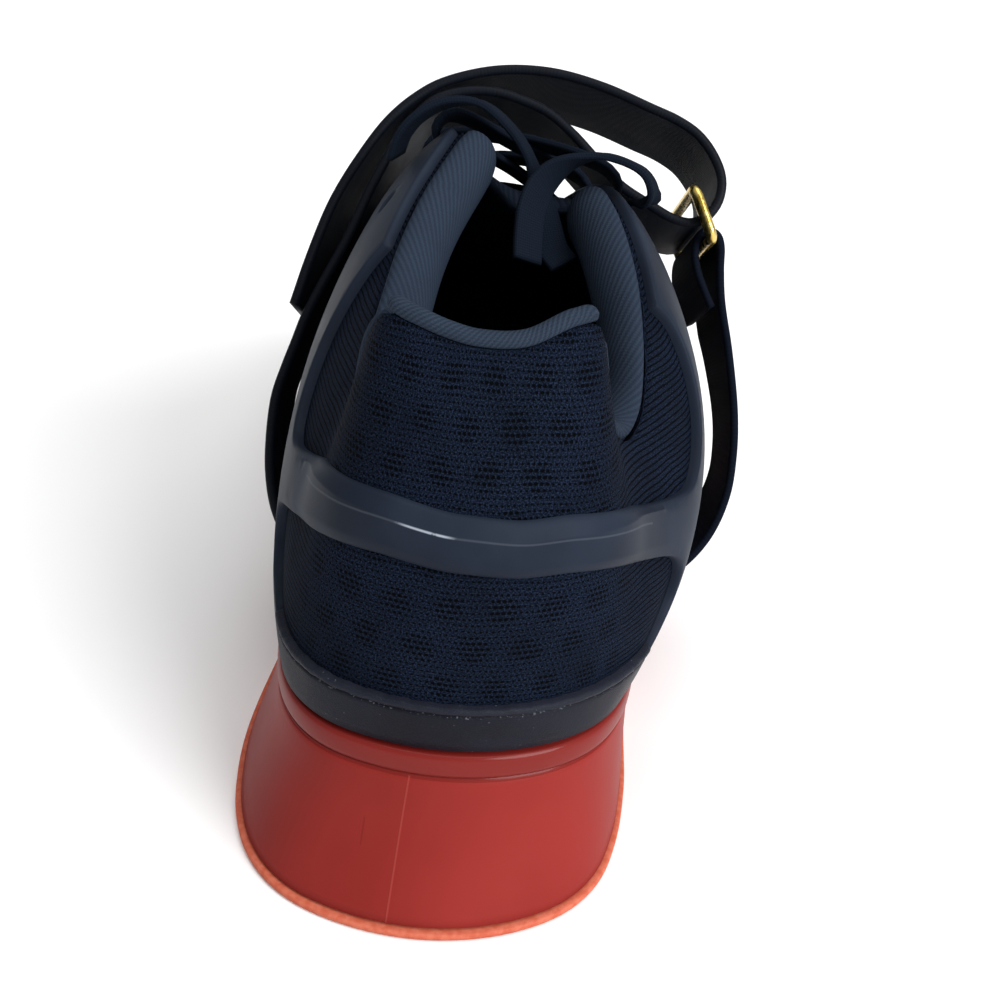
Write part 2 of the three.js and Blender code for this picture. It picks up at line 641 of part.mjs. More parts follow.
// Knitted binding along the heel tab's edge
const rimBody = (() => {
  const path = [];
  for (let i = 0; i <= 20; i += 1) {
    const turn = -18.5 + 37 * i / 20;
    const edge = offLast(turn, 1, -wall / 2);
    const up = edge.clone().sub(offLast(turn, 0.95, -wall / 2)).normalize();
    path.push(edge.addScaledVector(up, bindingRadius + gap));
  }
  const round = Array.from({ length: 6 }, (_, k) => [
    bindingRadius * Math.cos(k * Math.PI / 3), bindingRadius * Math.sin(k * Math.PI / 3)]);
  return carry(path, () => round, () => new THREE.Vector3(0, 1, 0.2));
})();

// Insole
const insoleBody = (() => {
  const inset = ledge + wall + gap + 0.6;
  const level = (y) => seatZ(y) + gap;
  const cup = (y) => level(y) + insoleThickness;
  return stackedRings([
    ring(-inset - 0.8, level), ring(-inset, (y) => level(y) + 0.9), ring(-inset, (y) => cup(y) - 0.4),
    ring(-inset - 1.5, cup),
  ]);
})();

// Tongue, under the throat
const tongueBody = (() => {
  const sections = [];
  const steps = 13;
  for (let i = 0; i <= steps; i += 1) {
    const turn = 78 + (throatEnd + 5 - 78) * i / steps;
    const under = wall + gap + 0.4;
    const lip = 1 - 0.06 * smooth((turn - 112) / 12);
    const [outerTop, innerTop] = [offLast(turn, lip, -under), offLast(-turn, lip, -under)];
    const [outerLow, innerLow] = [offLast(turn, lip - 0.14, -under), offLast(-turn, lip - 0.14, -under)];
    const crown = offLast(turn, 1, -under).lerp(offLast(-turn, 1, -under), 0.5);
    crown.z += i === 0 ? -6 : -1.5;
    const top = new THREE.CatmullRomCurve3([outerLow, outerTop, crown, innerTop, innerLow]).getPoints(8);
    sections.push([...top, ...top.slice().reverse().map((p) => p.clone().add(
      new THREE.Vector3(0, 0, -tongueThickness)))]);
  }
  return gridBody(sections);
})();

// Strap, ring and anchor lie in a plane that leans forward with the instep.
// Their outlines are seen along it: across the shoe, then up the plane.
const strapTilt = 28 * degree;
const strapWidth = 32;
const strapOrigin = new THREE.Vector3(0, 74, 105);
const strapUp = new THREE.Vector3(0, Math.sin(strapTilt), Math.cos(strapTilt));
const strapAcross = new THREE.Vector3(0, Math.cos(strapTilt), -Math.sin(strapTilt));
const footFrom = -20; // below this the front edge shortens, so that the foot follows the sole
const footRise = 0.1875;
function onStrap([x, s], across = strapWidth / 2, spread = 0) {
  const down = Math.max(0, footFrom - s) * across / strapWidth;
  return strapOrigin.clone().add(new THREE.Vector3(x + down * spread, 0, 0))
    .addScaledVector(strapUp, s + down * footRise).addScaledVector(strapAcross, across);
}

function strapBand(outlineXS, count, width, thickness, spread) {
  const spots = new THREE.CatmullRomCurve3(outlineXS.map(([x, s]) => new THREE.Vector3(x, s, 0)),
    false, 'centripetal').getSpacedPoints(count);
  const edge = (side) => spots.map((p) => onStrap([p.x, p.y], strapWidth / 2 + side * width / 2, spread));
  const [rear, front] = [edge(-1), edge(1)];
  return loopLoft(spots.map((_, i) => {
    const [a, b] = [Math.max(i - 1, 0), Math.min(i + 1, count)];
    const tangent = rear[b].clone().add(front[b]).sub(rear[a]).sub(front[a]);
    const off = tangent.cross(front[i].clone().sub(rear[i])).normalize().multiplyScalar(thickness / 2);
    const below = [rear[i], front[i]].map((p) => p.clone().sub(off));
    const above = [front[i], rear[i]].map((p) => p.clone().add(off));
    return [...below, ...above];
  }));
}

const strapBody = strapBand([
  [-35.6, -97], [-35.6, -88], [-35.9, -84], [-38.6, -79.5], [-42.1, -72.8], [-44, -65], [-44.6, -57],
  [-44.2, -47], [-42.5, -40], [-40.8, -34.2], [-39.2, -28.6], [-36.4, -21.5], [-31.4, -10],
  [-26.6, 3.3], [-21.3, 14.8], [-14.8, 23.4], [-7.8, 26.3], [-0.5, 26.8], [5.6, 25.5], [11.7, 23.3],
  [18, 18.7], [23.3, 13.8], [29.5, 8.3], [36.2, 4.6], [42.5, 1.6], [46.6, 1.1], [49.6, 2.5],
  [52, 5.6], [52.9, 9.4], [52.4, 13.2], [49.8, 18], [46.3, 21.7], [41.5, 24.4], [35.5, 26.5],
  [23.4, 30.5], [11.2, 32.6], [-1, 31.8], [-12.7, 27.9], [-18.5, 24], [-24.1, 18.3], [-29.7, 9.5],
  [-35.1, -1.5], [-39.1, -14.2], [-42, -26],
], 70, strapWidth, strapThickness, 0);

const anchorBody = strapBand([
  [53, -17.6], [50.9, -13.4], [49.1, -9.4], [48.3, -5.6], [48.6, -2], [49.9, -0.3], [51.6, 0],
  [53.2, -0.9], [54.1, -3.2], [54.4, -8.5], [55.2, -15.6], [57.9, -27.7], [60.3, -42], [60.8, -51.7],
  [60, -61.2], [56.8, -70.5], [51.8, -77.5], [45.4, -82.6], [40.9, -86], [40.2, -100],
], 46, strapWidth - 3, anchorThickness, 0.037);

// Both bands end on the sole's ledge
const belowLedge = toManifold(stackedRings([ring(20, () => -30), ring(20, (y) => seatZ(y))]));
const strapCut = fromManifold(toManifold(strapBody).subtract(belowLedge));
const anchorCut = fromManifold(toManifold(anchorBody).subtract(belowLedge));

// Ring: a bent wire rectangle round the strap and the anchor's loop
const ringBody = (() => {
  const [top, bottom] = [[46.3, 8.2], [51.2, -2.6]];
  const long = strapWidth / 2 + ringSide / 2 + gap;
  const down = new THREE.Vector2(bottom[0] - top[0], bottom[1] - top[1]);
  const short = down.length() / 2;
  down.normalize();
  const centre = onStrap([(top[0] + bottom[0]) / 2, (top[1] + bottom[1]) / 2]);
  const downwards = new THREE.Vector3(down.x, 0, 0).addScaledVector(strapUp, down.y);
  const corner = 2.4;
  const path = [];
  for (const [signLong, signShort, from] of [[1, 1, 0], [-1, 1, 90], [-1, -1, 180], [1, -1, 270]]) {
    for (let k = 0; k <= 3; k += 1) {
      const angle = (from + 30 * k) * degree;
      path.push(centre.clone()
        .addScaledVector(strapAcross, signLong * (long - corner) + corner * Math.cos(angle))
        .addScaledVector(downwards, signShort * (short - corner) + corner * Math.sin(angle)));
    }
  }
  const flat = strapAcross.clone().cross(downwards);
  const rows = path.map((point, i) => {
    const ahead = path[(i + 1) % path.length];
    const behind = path[(i + path.length - 1) % path.length];
    const along = ahead.clone().sub(behind).normalize();
    const side = along.clone().cross(flat);
    const half = ringBar / 2 + (ringSide - ringBar) / 2 * Math.abs(along.dot(downwards));
    return Array.from({ length: 8 }, (_, k) => point.clone()
      .addScaledVector(side, half * Math.cos(k * Math.PI / 4))
      .addScaledVector(flat, ringBar / 2 * Math.sin(k * Math.PI / 4)));
  });
  const faces = [];
  for (let r = 0; r < rows.length; r += 1) {
    for (let c = 0; c < 8; c += 1) {
      const [a, b] = [r * 8 + c, r * 8 + (c + 1) % 8];
      const next = ((r + 1) % rows.length - r) * 8;
      faces.push([a, b, b + next], [a, b + next, a + next]);
    }
  }
  return outwards(solidGeometry(rows.flat(), faces));
})();

// Laces: crossings over the tongue joined into one piece, and the two ends tucked inside
const laceLift = (i) => gap + laceThickness / 2 + (i < 2 ? gap + frameThickness + 0.9 : 0.5);
function crossing(i, side) {
  const [a, b] = [eyelets[i], eyelets[i + 1]];
  const [lowA, lowB] = [laceLift(i), laceLift(i + 1)];
  const [start, end] = [offLast(side * a.turn, a.t, lowA), offLast(-side * b.turn, b.t, lowB)];
  const overStart = offLast(side * a.turn, 0.985, lowA + 0.8);
  const overEnd = offLast(-side * b.turn, 0.985, lowB + 0.8);
  const middle = [[1, a], [-1, a], [1, b], [-1, b]]
    .reduce((sum, [s, e]) => sum.add(offLast(s * e.turn, 0.985, lowA + 0.8)), new THREE.Vector3())
    .multiplyScalar(0.25);
  middle.z += 1.6;
  const path = new THREE.CatmullRomCurve3(
    [start, overStart, middle, overEnd, end], false, 'centripetal').getPoints(5);
  return toManifold(carry(
    path, () => bandSection(laceWidth, laceThickness), () => new THREE.Vector3(0, 1, -0.5)));
}
let crossings = crossing(0, 1).add(crossing(0, -1));
for (let i = 1; i + 1 < eyelets.length; i += 1) {
  crossings = crossings.add(crossing(i, 1)).add(crossing(i, -1));
}

// The path of each tucked end starts by its top eyelet and drops inside. The flat side turns
// from edge-on to flatSide between two shares of the path.
const edgeOn = new THREE.Vector3(0.3, 1, -0.25);
function laceEnd(points, [turnFrom, turnTo], flatSide) {
  const count = 20;
  const turned = (i) => smooth((i / count - turnFrom) / (turnTo - turnFrom));
  return carry(smoothPath(points, count), () => bandSection(laceWidth, laceThickness),
    (i) => edgeOn.clone().lerp(flatSide, turned(i)));
}
const laceOuter = laceEnd([
  [32.2, 57.4, 113.4], [33.8, 54.7, 114.8], [33.5, 53.4, 117.8], [30.8, 52.5, 121.2], [23, 52.5, 123.4],
  [16.5, 51, 122], [11, 47.5, 118.5], [8.6, 43.5, 114], [8.2, 39.5, 109], [8.4, 36, 104.5],
], [0.2, 0.65], new THREE.Vector3(0.75, 0.65, 0));
const laceInner = laceEnd([
  [-20.6, 55, 119], [-19.2, 54, 123.6], [-16.2, 54, 127.6], [-10.6, 55, 130.8], [-3.8, 56, 131],
  [3.4, 57.2, 126], [8, 56, 120], [10.5, 52, 113.5], [12.3, 47.6, 108], [13.9, 44.4, 104.8],
  [16.4, 41.8, 102.8],
], [0.6, 0.9], new THREE.Vector3(1, 0.15, 0));

const meshes = [
  ['outsole', outsole, 0xe8663c], ['heel_unit', heelUnit, 0xc4564a],
  ['upper', fromManifold(upperSolid), 0x39465a], ['heel_rand', randBody, 0x3c4456],
  ['heel_frame', fromManifold(frameSolid), 0x5c6777], ['toe_guard', guardBody, 0x2c3340],
  ['collar_roll_outer', rollOuter, 0x55627a], ['collar_roll_inner', rollInner, 0x55627a],
  ['heel_binding', rimBody, 0x66758a], ['insole', insoleBody, 0x222633],
  ['tongue', tongueBody, 0x272e3c], ['strap', strapCut, 0x15181f],
  ['strap_anchor', anchorCut, 0x1d2330],
  ['ring', ringBody, 0xc9b56a], ['lace_crossings', fromManifold(crossings), 0x2b3550],
  ['lace_end_outer', laceOuter, 0x46536e], ['lace_end_inner', laceInner, 0x46536e],
];
const shoe = new THREE.Group();
for (const [name, geometry, colour] of meshes) {
  geometry.computeVertexNormals();
  const mesh = new THREE.Mesh(geometry, new THREE.MeshStandardMaterial({ color: colour }));
  mesh.name = name;
  shoe.add(mesh);
}
export default shoe;
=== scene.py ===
import math

import bmesh
import bpy
import numpy as np
from mathutils import Matrix, Vector, geometry


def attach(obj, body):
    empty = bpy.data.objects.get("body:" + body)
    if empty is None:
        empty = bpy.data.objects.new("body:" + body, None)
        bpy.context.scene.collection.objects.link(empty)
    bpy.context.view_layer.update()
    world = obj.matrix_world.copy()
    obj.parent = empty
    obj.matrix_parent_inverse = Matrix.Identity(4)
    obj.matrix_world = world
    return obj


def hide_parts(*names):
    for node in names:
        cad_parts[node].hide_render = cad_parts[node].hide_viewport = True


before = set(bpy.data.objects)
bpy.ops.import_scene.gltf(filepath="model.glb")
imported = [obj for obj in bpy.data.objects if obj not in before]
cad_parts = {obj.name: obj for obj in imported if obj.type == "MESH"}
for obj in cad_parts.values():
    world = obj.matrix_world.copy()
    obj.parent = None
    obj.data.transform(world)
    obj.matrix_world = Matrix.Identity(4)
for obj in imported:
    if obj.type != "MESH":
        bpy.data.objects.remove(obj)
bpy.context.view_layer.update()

# Shoe sizes in mm, the same as in the part's source. +X outer side, +Y toe, +Z up.
shoe = dict(
    soleLength=298, halfBall=52, heelHeight=35, ballHeight=16, toeSpring=9, archLift=2.5, setback=46, flare=9,
    upperHeight=78, ledge=1.8, wall=2, gap=0.3, rimHeight=5, rimStep=0.6, outsole=1.7, throatEnd=126,
)
# the sole seen from the side, in shares of its length from the heel
sideView = dict(
    toeFrom=0.79, toeRun=0.21, archFrom=0.34, archTo=0.56, archBlend=0.08, fallFrom=0.18, fallRun=0.44,
    seatSpring=0.45,
)
gap = shoe["gap"]
wall = shoe["wall"]


# Table reading and smooth curves
def table(names, text):
    rows = [[float(word) for word in line.split()] for line in text.strip().splitlines()]
    return {name: np.array(column) for name, column in zip(names.split(), zip(*rows))}


def hermite(at, knots, values, slopes):
    i = np.clip(np.searchsorted(knots, at, side="right") - 1, 0, len(knots) - 2)
    span = knots[i + 1] - knots[i]
    t = (at - knots[i]) / span
    return ((2 * t**3 - 3 * t**2 + 1) * values[i] + (t**3 - 2 * t**2 + t) * span * slopes[i]
            + (3 * t**2 - 2 * t**3) * values[i + 1] + (t**3 - t**2) * span * slopes[i + 1])


def slopesOf(knots, values):
    before = np.diff(values)[:-1] / np.diff(knots)[:-1]
    after = np.diff(values)[1:] / np.diff(knots)[1:]
    left, right = np.diff(knots)[:-1], np.diff(knots)[1:]
    inner = (before * right + after * left) / (left + right)
    return np.concatenate([[before[0]], inner, [after[-1]]])


def aroundShoe(rows, outer, inner):
    # closed curve of the turn round the shoe: 0 is the back, 180 the toe, the outer side is positive
    turn, a, b = rows["turn"], rows[outer], rows[inner]
    middle = (turn > 0) & (turn < 180)
    knots = np.concatenate([-turn[middle][::-1], turn])
    values = np.concatenate([b[middle][::-1], a])
    knots = np.concatenate([knots - 360, knots, knots + 360])
    values = np.tile(values, 3)
    slopes = slopesOf(knots, values)
    return lambda at: hermite(np.asarray(at, float), knots, values, slopes)


def smoothStep(value):
    t = np.clip(value, 0, 1)
    return t * t * (3 - 2 * t)


def runAlong(points):
    # length along a line of points up to each of them
    return np.concatenate([[0], np.cumsum(np.linalg.norm(np.diff(points, axis=0), axis=1))])


def stepsFromEnds(count):
    return np.minimum(np.arange(count), count - 1 - np.arange(count))


def spline(points, count):
    # evenly spaced points on a smooth curve through the given ones
    p = np.array(points, float)
    step = np.sqrt(np.linalg.norm(np.diff(p, axis=0), axis=1))
    knots = np.concatenate([[0], np.cumsum(step)])
    fine = np.linspace(0, knots[-1], 40 * len(p))
    curve = np.stack([hermite(fine, knots, p[:, k], slopesOf(knots, p[:, k])) for k in range(p.shape[1])], 1)
    run = runAlong(curve)
    even = np.linspace(0, run[-1], count)
    return np.stack([np.interp(even, run, curve[:, k]) for k in range(p.shape[1])], 1)


# The last, as in the part's source
def shareAt(y):
    return (y + shoe["setback"]) / shoe["soleLength"]


def toeShare(y):
    return np.maximum(0, (shareAt(y) - sideView["toeFrom"]) / sideView["toeRun"]) ** 2


def groundZ(y):
    s = shareAt(y)
    archIn = smoothStep((s - sideView["archFrom"]) / sideView["archBlend"])
    archOut = smoothStep((sideView["archTo"] - s) / sideView["archBlend"])
    return shoe["archLift"] * archIn * archOut + shoe["toeSpring"] * toeShare(y)


def seatZ(y):
    fall = smoothStep((shareAt(y) - sideView["fallFrom"]) / sideView["fallRun"])
    drop = (shoe["ballHeight"] - shoe["heelHeight"]) * fall
    return shoe["heelHeight"] + drop + sideView["seatSpring"] * shoe["toeSpring"] * toeShare(y)


edgeRows = table("turn outer inner", """
0 0 0
8 .205 -.205
16 .395 -.4
24 .545 -.535
32 .645 -.62
42 .715 -.67
54 .755 -.69
66 .79 -.685
78 .83 -.68
90 .875 -.715
102 .93 -.825
114 .96 -.95
124 .93 -1.01
134 .835 -.99
144 .68 -.905
154 .465 -.765
166 .15 -.52
180 -.21 -.21
""")
flareRows = table("turn outer inner", """
0 1 1
16 .78 1
32 .3 .86
48 .16 .76
66 .16 .42
90 .2 .24
130 .2 .2
180 .16 .16
""")
toplineRows = table("turn x y z innerX innerY innerZ", """
0 0 .05 .955 0 .05 .955
7 .138 .052 .962 -.11 .052 .965
14 .285 .06 1.005 -.232 .059 .984
18 .355 .069 1 -.305 .069 .986
21 .392 .079 .94 -.348 .081 .935
24 .42 .09 .85 -.382 .094 .855
27 .455 .104 .745 -.405 .108 .765
31 .51 .122 .665 -.416 .125 .705
35 .562 .14 .64 -.412 .143 .722
40 .606 .162 .668 -.396 .166 .79
46 .617 .19 .76 -.372 .195 .862
52 .6 .222 .868 -.345 .228 .935
60 .56 .265 .975 -.283 .27 1.045
68 .51 .308 1.055 -.2 .31 1.15
74 .455 .34 1.105 -.135 .34 1.225
80 .4 .376 1.105 -.15 .376 1.205
90 .325 .44 1.06 -.21 .44 1.13
100 .265 .503 .998 -.24 .503 1.042
110 .215 .567 .91 -.24 .567 .936
118 .154 .617 .827 -.202 .617 .84
126 -.04 .668 .745 -.04 .668 .745
132 -.09 .712 .672 -.09 .712 .672
142 -.135 .785 .554 -.135 .785 .554
152 -.173 .839 .463 -.173 .839 .463
162 -.192 .869 .419 -.192 .869 .419
172 -.2 .882 .401 -.2 .882 .401
180 -.202 .886 .397 -.202 .886 .397
""")
ribRows = table("turn rise swell innerSwell reach lean innerLean drop", """
0 .33 .1 .1 0 .13 .13 .33
24 .33 .09 .07 0 .16 .11 .33
38 .36 .165 .07 .25 .2 .145 .3
52 .34 .205 .08 .45 .325 .19 .28
66 .34 .16 .1 .5 .27 .19 .2
80 .36 .1 .12 .45 .16 .16 .13
100 .42 .05 .05 .42 .1 .1 .07
126 .5 .02 .02 .5 0 0 .01
152 .58 0 0 .56 0 0 0
180 .6 0 0 .56 0 0 0
""")
edgeX = aroundShoe(edgeRows, "outer", "inner")
flareShare = aroundShoe(flareRows, "outer", "inner")
topline = [aroundShoe(toplineRows, a, b) for a, b in (("x", "innerX"), ("y", "innerY"), ("z", "innerZ"))]
rib = {name: aroundShoe(ribRows, name, inner) for name, inner in (
    ("rise", "rise"), ("swell", "innerSwell"), ("reach", "reach"), ("lean", "innerLean"), ("drop", "drop"))}


def edgeRaw(turn):
    back = -shoe["setback"] + shoe["flare"]
    toe = shoe["soleLength"] - shoe["setback"] - 2
    return np.stack([edgeX(turn) * shoe["halfBall"],
                     (back + toe) / 2 - (toe - back) / 2 * np.cos(np.radians(turn))], -1)


def wrapTurn(turn):
    return (np.asarray(turn, float) + 180) % 360 - 180


def edgeNormal(turn):
    ahead = edgeRaw(wrapTurn(turn + 1)) - edgeRaw(wrapTurn(turn - 1))
    out = np.stack([ahead[..., 1], -ahead[..., 0]], -1)
    return out / np.linalg.norm(out, axis=-1, keepdims=True)


def outline(turn, outwards):
    turn = wrapTurn(turn)
    return edgeRaw(turn) + edgeNormal(turn) * np.asarray(outwards)[..., None]


def topEdge(turn):
    turn = wrapTurn(turn)
    both = [(curve(turn), curve(-turn)) for curve in topline]
    ridge = np.abs(turn) >= shoe["throatEnd"]
    x, y, z = [np.where(ridge, (a + b) / 2, a) for a, b in both]
    along = y * shoe["soleLength"] - shoe["setback"]
    return np.stack([x * shoe["halfBall"], along, seatZ(along) + z * shoe["upperHeight"]], -1)


def lastPoint(turn, t):
    turn, t = np.broadcast_arrays(wrapTurn(turn), np.asarray(t, float))
    foot = outline(turn, np.full(turn.shape, -shoe["ledge"]))
    out = edgeNormal(turn)
    top = topEdge(turn)
    footZ = seatZ(foot[..., 1]) + 2 * gap
    height = top[..., 2] - footZ
    swell = rib["swell"](turn) * shoe["halfBall"]
    lean = rib["lean"](turn) * shoe["halfBall"]
    reach = rib["reach"](turn)
    p0 = np.concatenate([foot, footZ[..., None]], -1)
    p1 = np.concatenate([foot + out * swell[..., None], (footZ + rib["rise"](turn) * height)[..., None]], -1)
    p2 = np.concatenate([top[..., :2] + (foot - top[..., :2]) * reach[..., None] + out * lean[..., None],
                         (top[..., 2] - rib["drop"](turn) * height)[..., None]], -1)
    t = t[..., None]
    u = 1 - t
    return p0 * u**3 + p1 * 3 * u * u * t + p2 * 3 * u * t * t + top * t**3


def unit(v):
    return v / np.maximum(np.linalg.norm(v, axis=-1, keepdims=True), 1e-9)


def rawNormal(turn, t):
    along = lastPoint(turn + 0.5, t) - lastPoint(turn - 0.5, t)
    up = lastPoint(turn, np.minimum(1, t + 0.01)) - lastPoint(turn, np.maximum(0, t - 0.01))
    return unit(np.cross(along, up))


def lastNormal(turn, t):
    turn, t = np.broadcast_arrays(wrapTurn(turn), np.asarray(t, float))
    normal = rawNormal(turn, t)
    share = np.where(np.abs(turn) >= shoe["throatEnd"] - 1, smoothStep((t - 0.9) / 0.1), 0)[..., None]
    return unit(normal * (1 - share / 2) + rawNormal(-turn, t) * share / 2)


def offLast(turn, t, off):
    return lastPoint(turn, t) + lastNormal(turn, t) * np.asarray(off, float)[..., None]


footT, topT = 0.006, 0.985  # lowest and highest level of what lies on the last


def frameOnLast(y, z, side):
    # turn and t on the last of a point seen from the side
    turns = np.linspace(0, 100, 401)
    levels = np.linspace(footT, topT, 90)
    grid = lastPoint(side * turns[None, :], levels[:, None])
    found = []
    for a, b in zip(y, z):
        turnAt = np.array([np.interp(a, row[:, 1], turns) for row in grid])
        heights = np.array([np.interp(turn, turns, row[:, 2]) for turn, row in zip(turnAt, grid)])
        t = np.interp(b, heights, levels)
        found.append((side * np.interp(t, levels, turnAt), t))
    return np.array(found)


# Mesh making
weldWithin = 0.02  # mm


def place(name, data):
    thing = bpy.data.objects.new(name, data)
    bpy.context.scene.collection.objects.link(thing)
    return thing


class Piece:
    # collects grids and faces, then becomes one Blender object that rides on the shoe
    def __init__(self, name):
        self.name = name
        self.points, self.faces, self.uvs, self.slots = [], [], [], []

    def patch(self, points, faces, uv, slot=0):
        start = sum(len(block) for block in self.points)
        self.points.append(np.asarray(points, float))
        for face, corners in zip(faces, uv):
            self.faces.append([start + k for k in face])
            self.uvs.extend(corners)
            self.slots.append(slot)

    def grid(self, rows, wrap=False, uv=None, slot=0, flip=False):
        # rows x columns of points; wrap closes each row; uv has one more column when it wraps
        rows = np.asarray(rows, float)
        count, width = rows.shape[:2]
        last = width if wrap else width - 1
        if uv is None:
            across = rows if not wrap else np.concatenate([rows, rows[:, :1]], 1)
            run = np.linalg.norm(np.diff(across, axis=1), axis=2).mean(0)
            u = np.concatenate([[0], np.cumsum(run)])
            rise = np.linalg.norm(np.diff(rows, axis=0), axis=2).mean(1)
            v = np.concatenate([[0], np.cumsum(rise)])
            uv = np.stack(np.broadcast_arrays(u[None, :], v[:, None]), -1)
        faces, corners = [], []
        for r in range(count - 1):
            for c in range(last):
                d = (c + 1) % width
                face = [r * width + c, r * width + d, (r + 1) * width + d, (r + 1) * width + c]
                spots = [uv[r][c], uv[r][c + 1], uv[r + 1][c + 1], uv[r + 1][c]]
                faces.append(face[::-1] if flip else face)
                corners.append(spots[::-1] if flip else spots)
        self.patch(rows.reshape(-1, 3), faces, corners, slot)

    def close(self, rows, slot=0):
        # one face over the first row and one over the last
        for ring in (rows[0], rows[-1]):
            self.patch(ring, [list(range(len(ring)))], [[(0, 0)] * len(ring)], slot)

    def build(self, finishes, slot, node):
        # slot is not used; node is the CAD solid that the piece stands for
        mesh = bpy.data.meshes.new(self.name)
        points = np.concatenate(self.points) / 1000
        mesh.from_pydata(points.tolist(), [], self.faces)
        layer = mesh.uv_layers.new(name="lay")
        layer.data.foreach_set("uv", np.array(self.uvs, float).ravel())
        mesh.polygons.foreach_set("material_index", self.slots)
        mesh.polygons.foreach_set("use_smooth", [True] * len(self.faces))
        work = bmesh.new()
        work.from_mesh(mesh)
        bmesh.ops.remove_doubles(work, verts=work.verts, dist=weldWithin / 1000)
        bmesh.ops.recalc_face_normals(work, faces=work.faces)
        work.to_mesh(mesh)
        work.free()
        piece = place(self.name, mesh)
        for finish in finishes:
            mesh.materials.append(finish)
        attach(piece, "root")
        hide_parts(node)
        return piece


def circle(step):
    angles = np.radians(np.arange(0, 360, step))
    return np.stack([np.cos(angles), np.sin(angles)], 1)


def sweep(piece, path, section, across):
    # a closed section of (across, off) carried along a path; section may change along it
    path = np.asarray(path, float)
    tangent = unit(np.gradient(path, axis=0))
    wide = np.broadcast_to(np.asarray(across, float), path.shape)
    wide = unit(wide - tangent * np.sum(wide * tangent, 1, keepdims=True))
    thick = np.cross(tangent, wide)
    shape = np.asarray(section, float)
    if shape.ndim == 2:
        shape = np.broadcast_to(shape, (len(path),) + shape.shape)
    rows = path[:, None] + wide[:, None] * shape[..., :1] + thick[:, None] * shape[..., 1:]
    around = np.array([runAlong(ring) for ring in np.concatenate([shape, shape[:, :1]], 1)])
    uv = np.stack([around, np.broadcast_to(runAlong(path)[:, None], around.shape)], -1)
    piece.grid(rows, wrap=True, uv=uv)
    piece.close([rows[0][::-1], rows[-1]])


def roundedLoop(halfWide, halfTall, radius, steps):
    # closed outline of a rectangle with round corners
    spots = []
    for signX, signY, start in ((1, 1, 0), (-1, 1, 90), (-1, -1, 180), (1, -1, 270)):
        for k in range(steps + 1):
            angle = math.radians(start + 90 * k / steps)
            spots.append((signX * (halfWide - radius) + radius * math.cos(angle),
                          signY * (halfTall - radius) + radius * math.sin(angle)))
    return np.array(spots)


def insideLoop(spots, loop):
    a, b = loop, np.roll(loop, -1, 0)
    rise = np.where(np.abs((b - a)[:, 1]) < 1e-9, 1e-9, (b - a)[:, 1])
    x, y = spots[:, None, 0], spots[:, None, 1]
    crossed = ((a[None, :, 1] > y) != (b[None, :, 1] > y)) & (
        x < (b - a)[None, :, 0] * (y - a[None, :, 1]) / rise[None, :] + a[None, :, 0])
    return crossed.sum(1) % 2 == 1


def fromLoop(spots, loop):
    # distance of each spot from the nearest side of a closed outline
    a = loop[None]
    side = np.roll(loop, -1, 0)[None] - a
    away = spots[:, None] - a
    share = np.clip(np.sum(away * side, 2) / np.maximum(np.sum(side * side, 2), 1e-9), 0, 1)
    return np.min(np.linalg.norm(away - side * share[..., None], axis=2), 1)


def fromSpots(spots, others):
    return np.min(np.linalg.norm(spots[:, None] - others[None], axis=2), 1)


# a plate is drawn flat: mm for a degree of turn and for the whole height, its grid, and what stays clear, mm
plateMesh = dict(
    scale=(2.2, 92.0), cell=2.2, edgeStep=0.45, edgeClear=0.8, holeClear=0.9, lineClear=0.9, low=0.05,
    bore=0.05,
)
holeRims = [(0, 0), (0.15, 0.75), (0.5, 1)]  # mm out from a hole's edge, height share


def holeOnPlate(turn, t, scale):
    # middle of a hole, and how far a mm on the last reaches on the flat drawing
    around, upwards = (lastPoint(turn + dTurn, t + dT) - lastPoint(turn - dTurn, t - dT)
                       for dTurn, dT in ((1, 0), (0, 0.02)))
    return np.array([turn, t]) * scale, np.array([2 * scale[0] / np.linalg.norm(around),
                                                  0.04 * scale[1] / np.linalg.norm(upwards)])


def thinOut(line, step):
    keep = [0]
    for i in range(1, len(line)):
        if np.linalg.norm(line[i] - line[keep[-1]]) > step:
            keep.append(i)
    return line[keep]


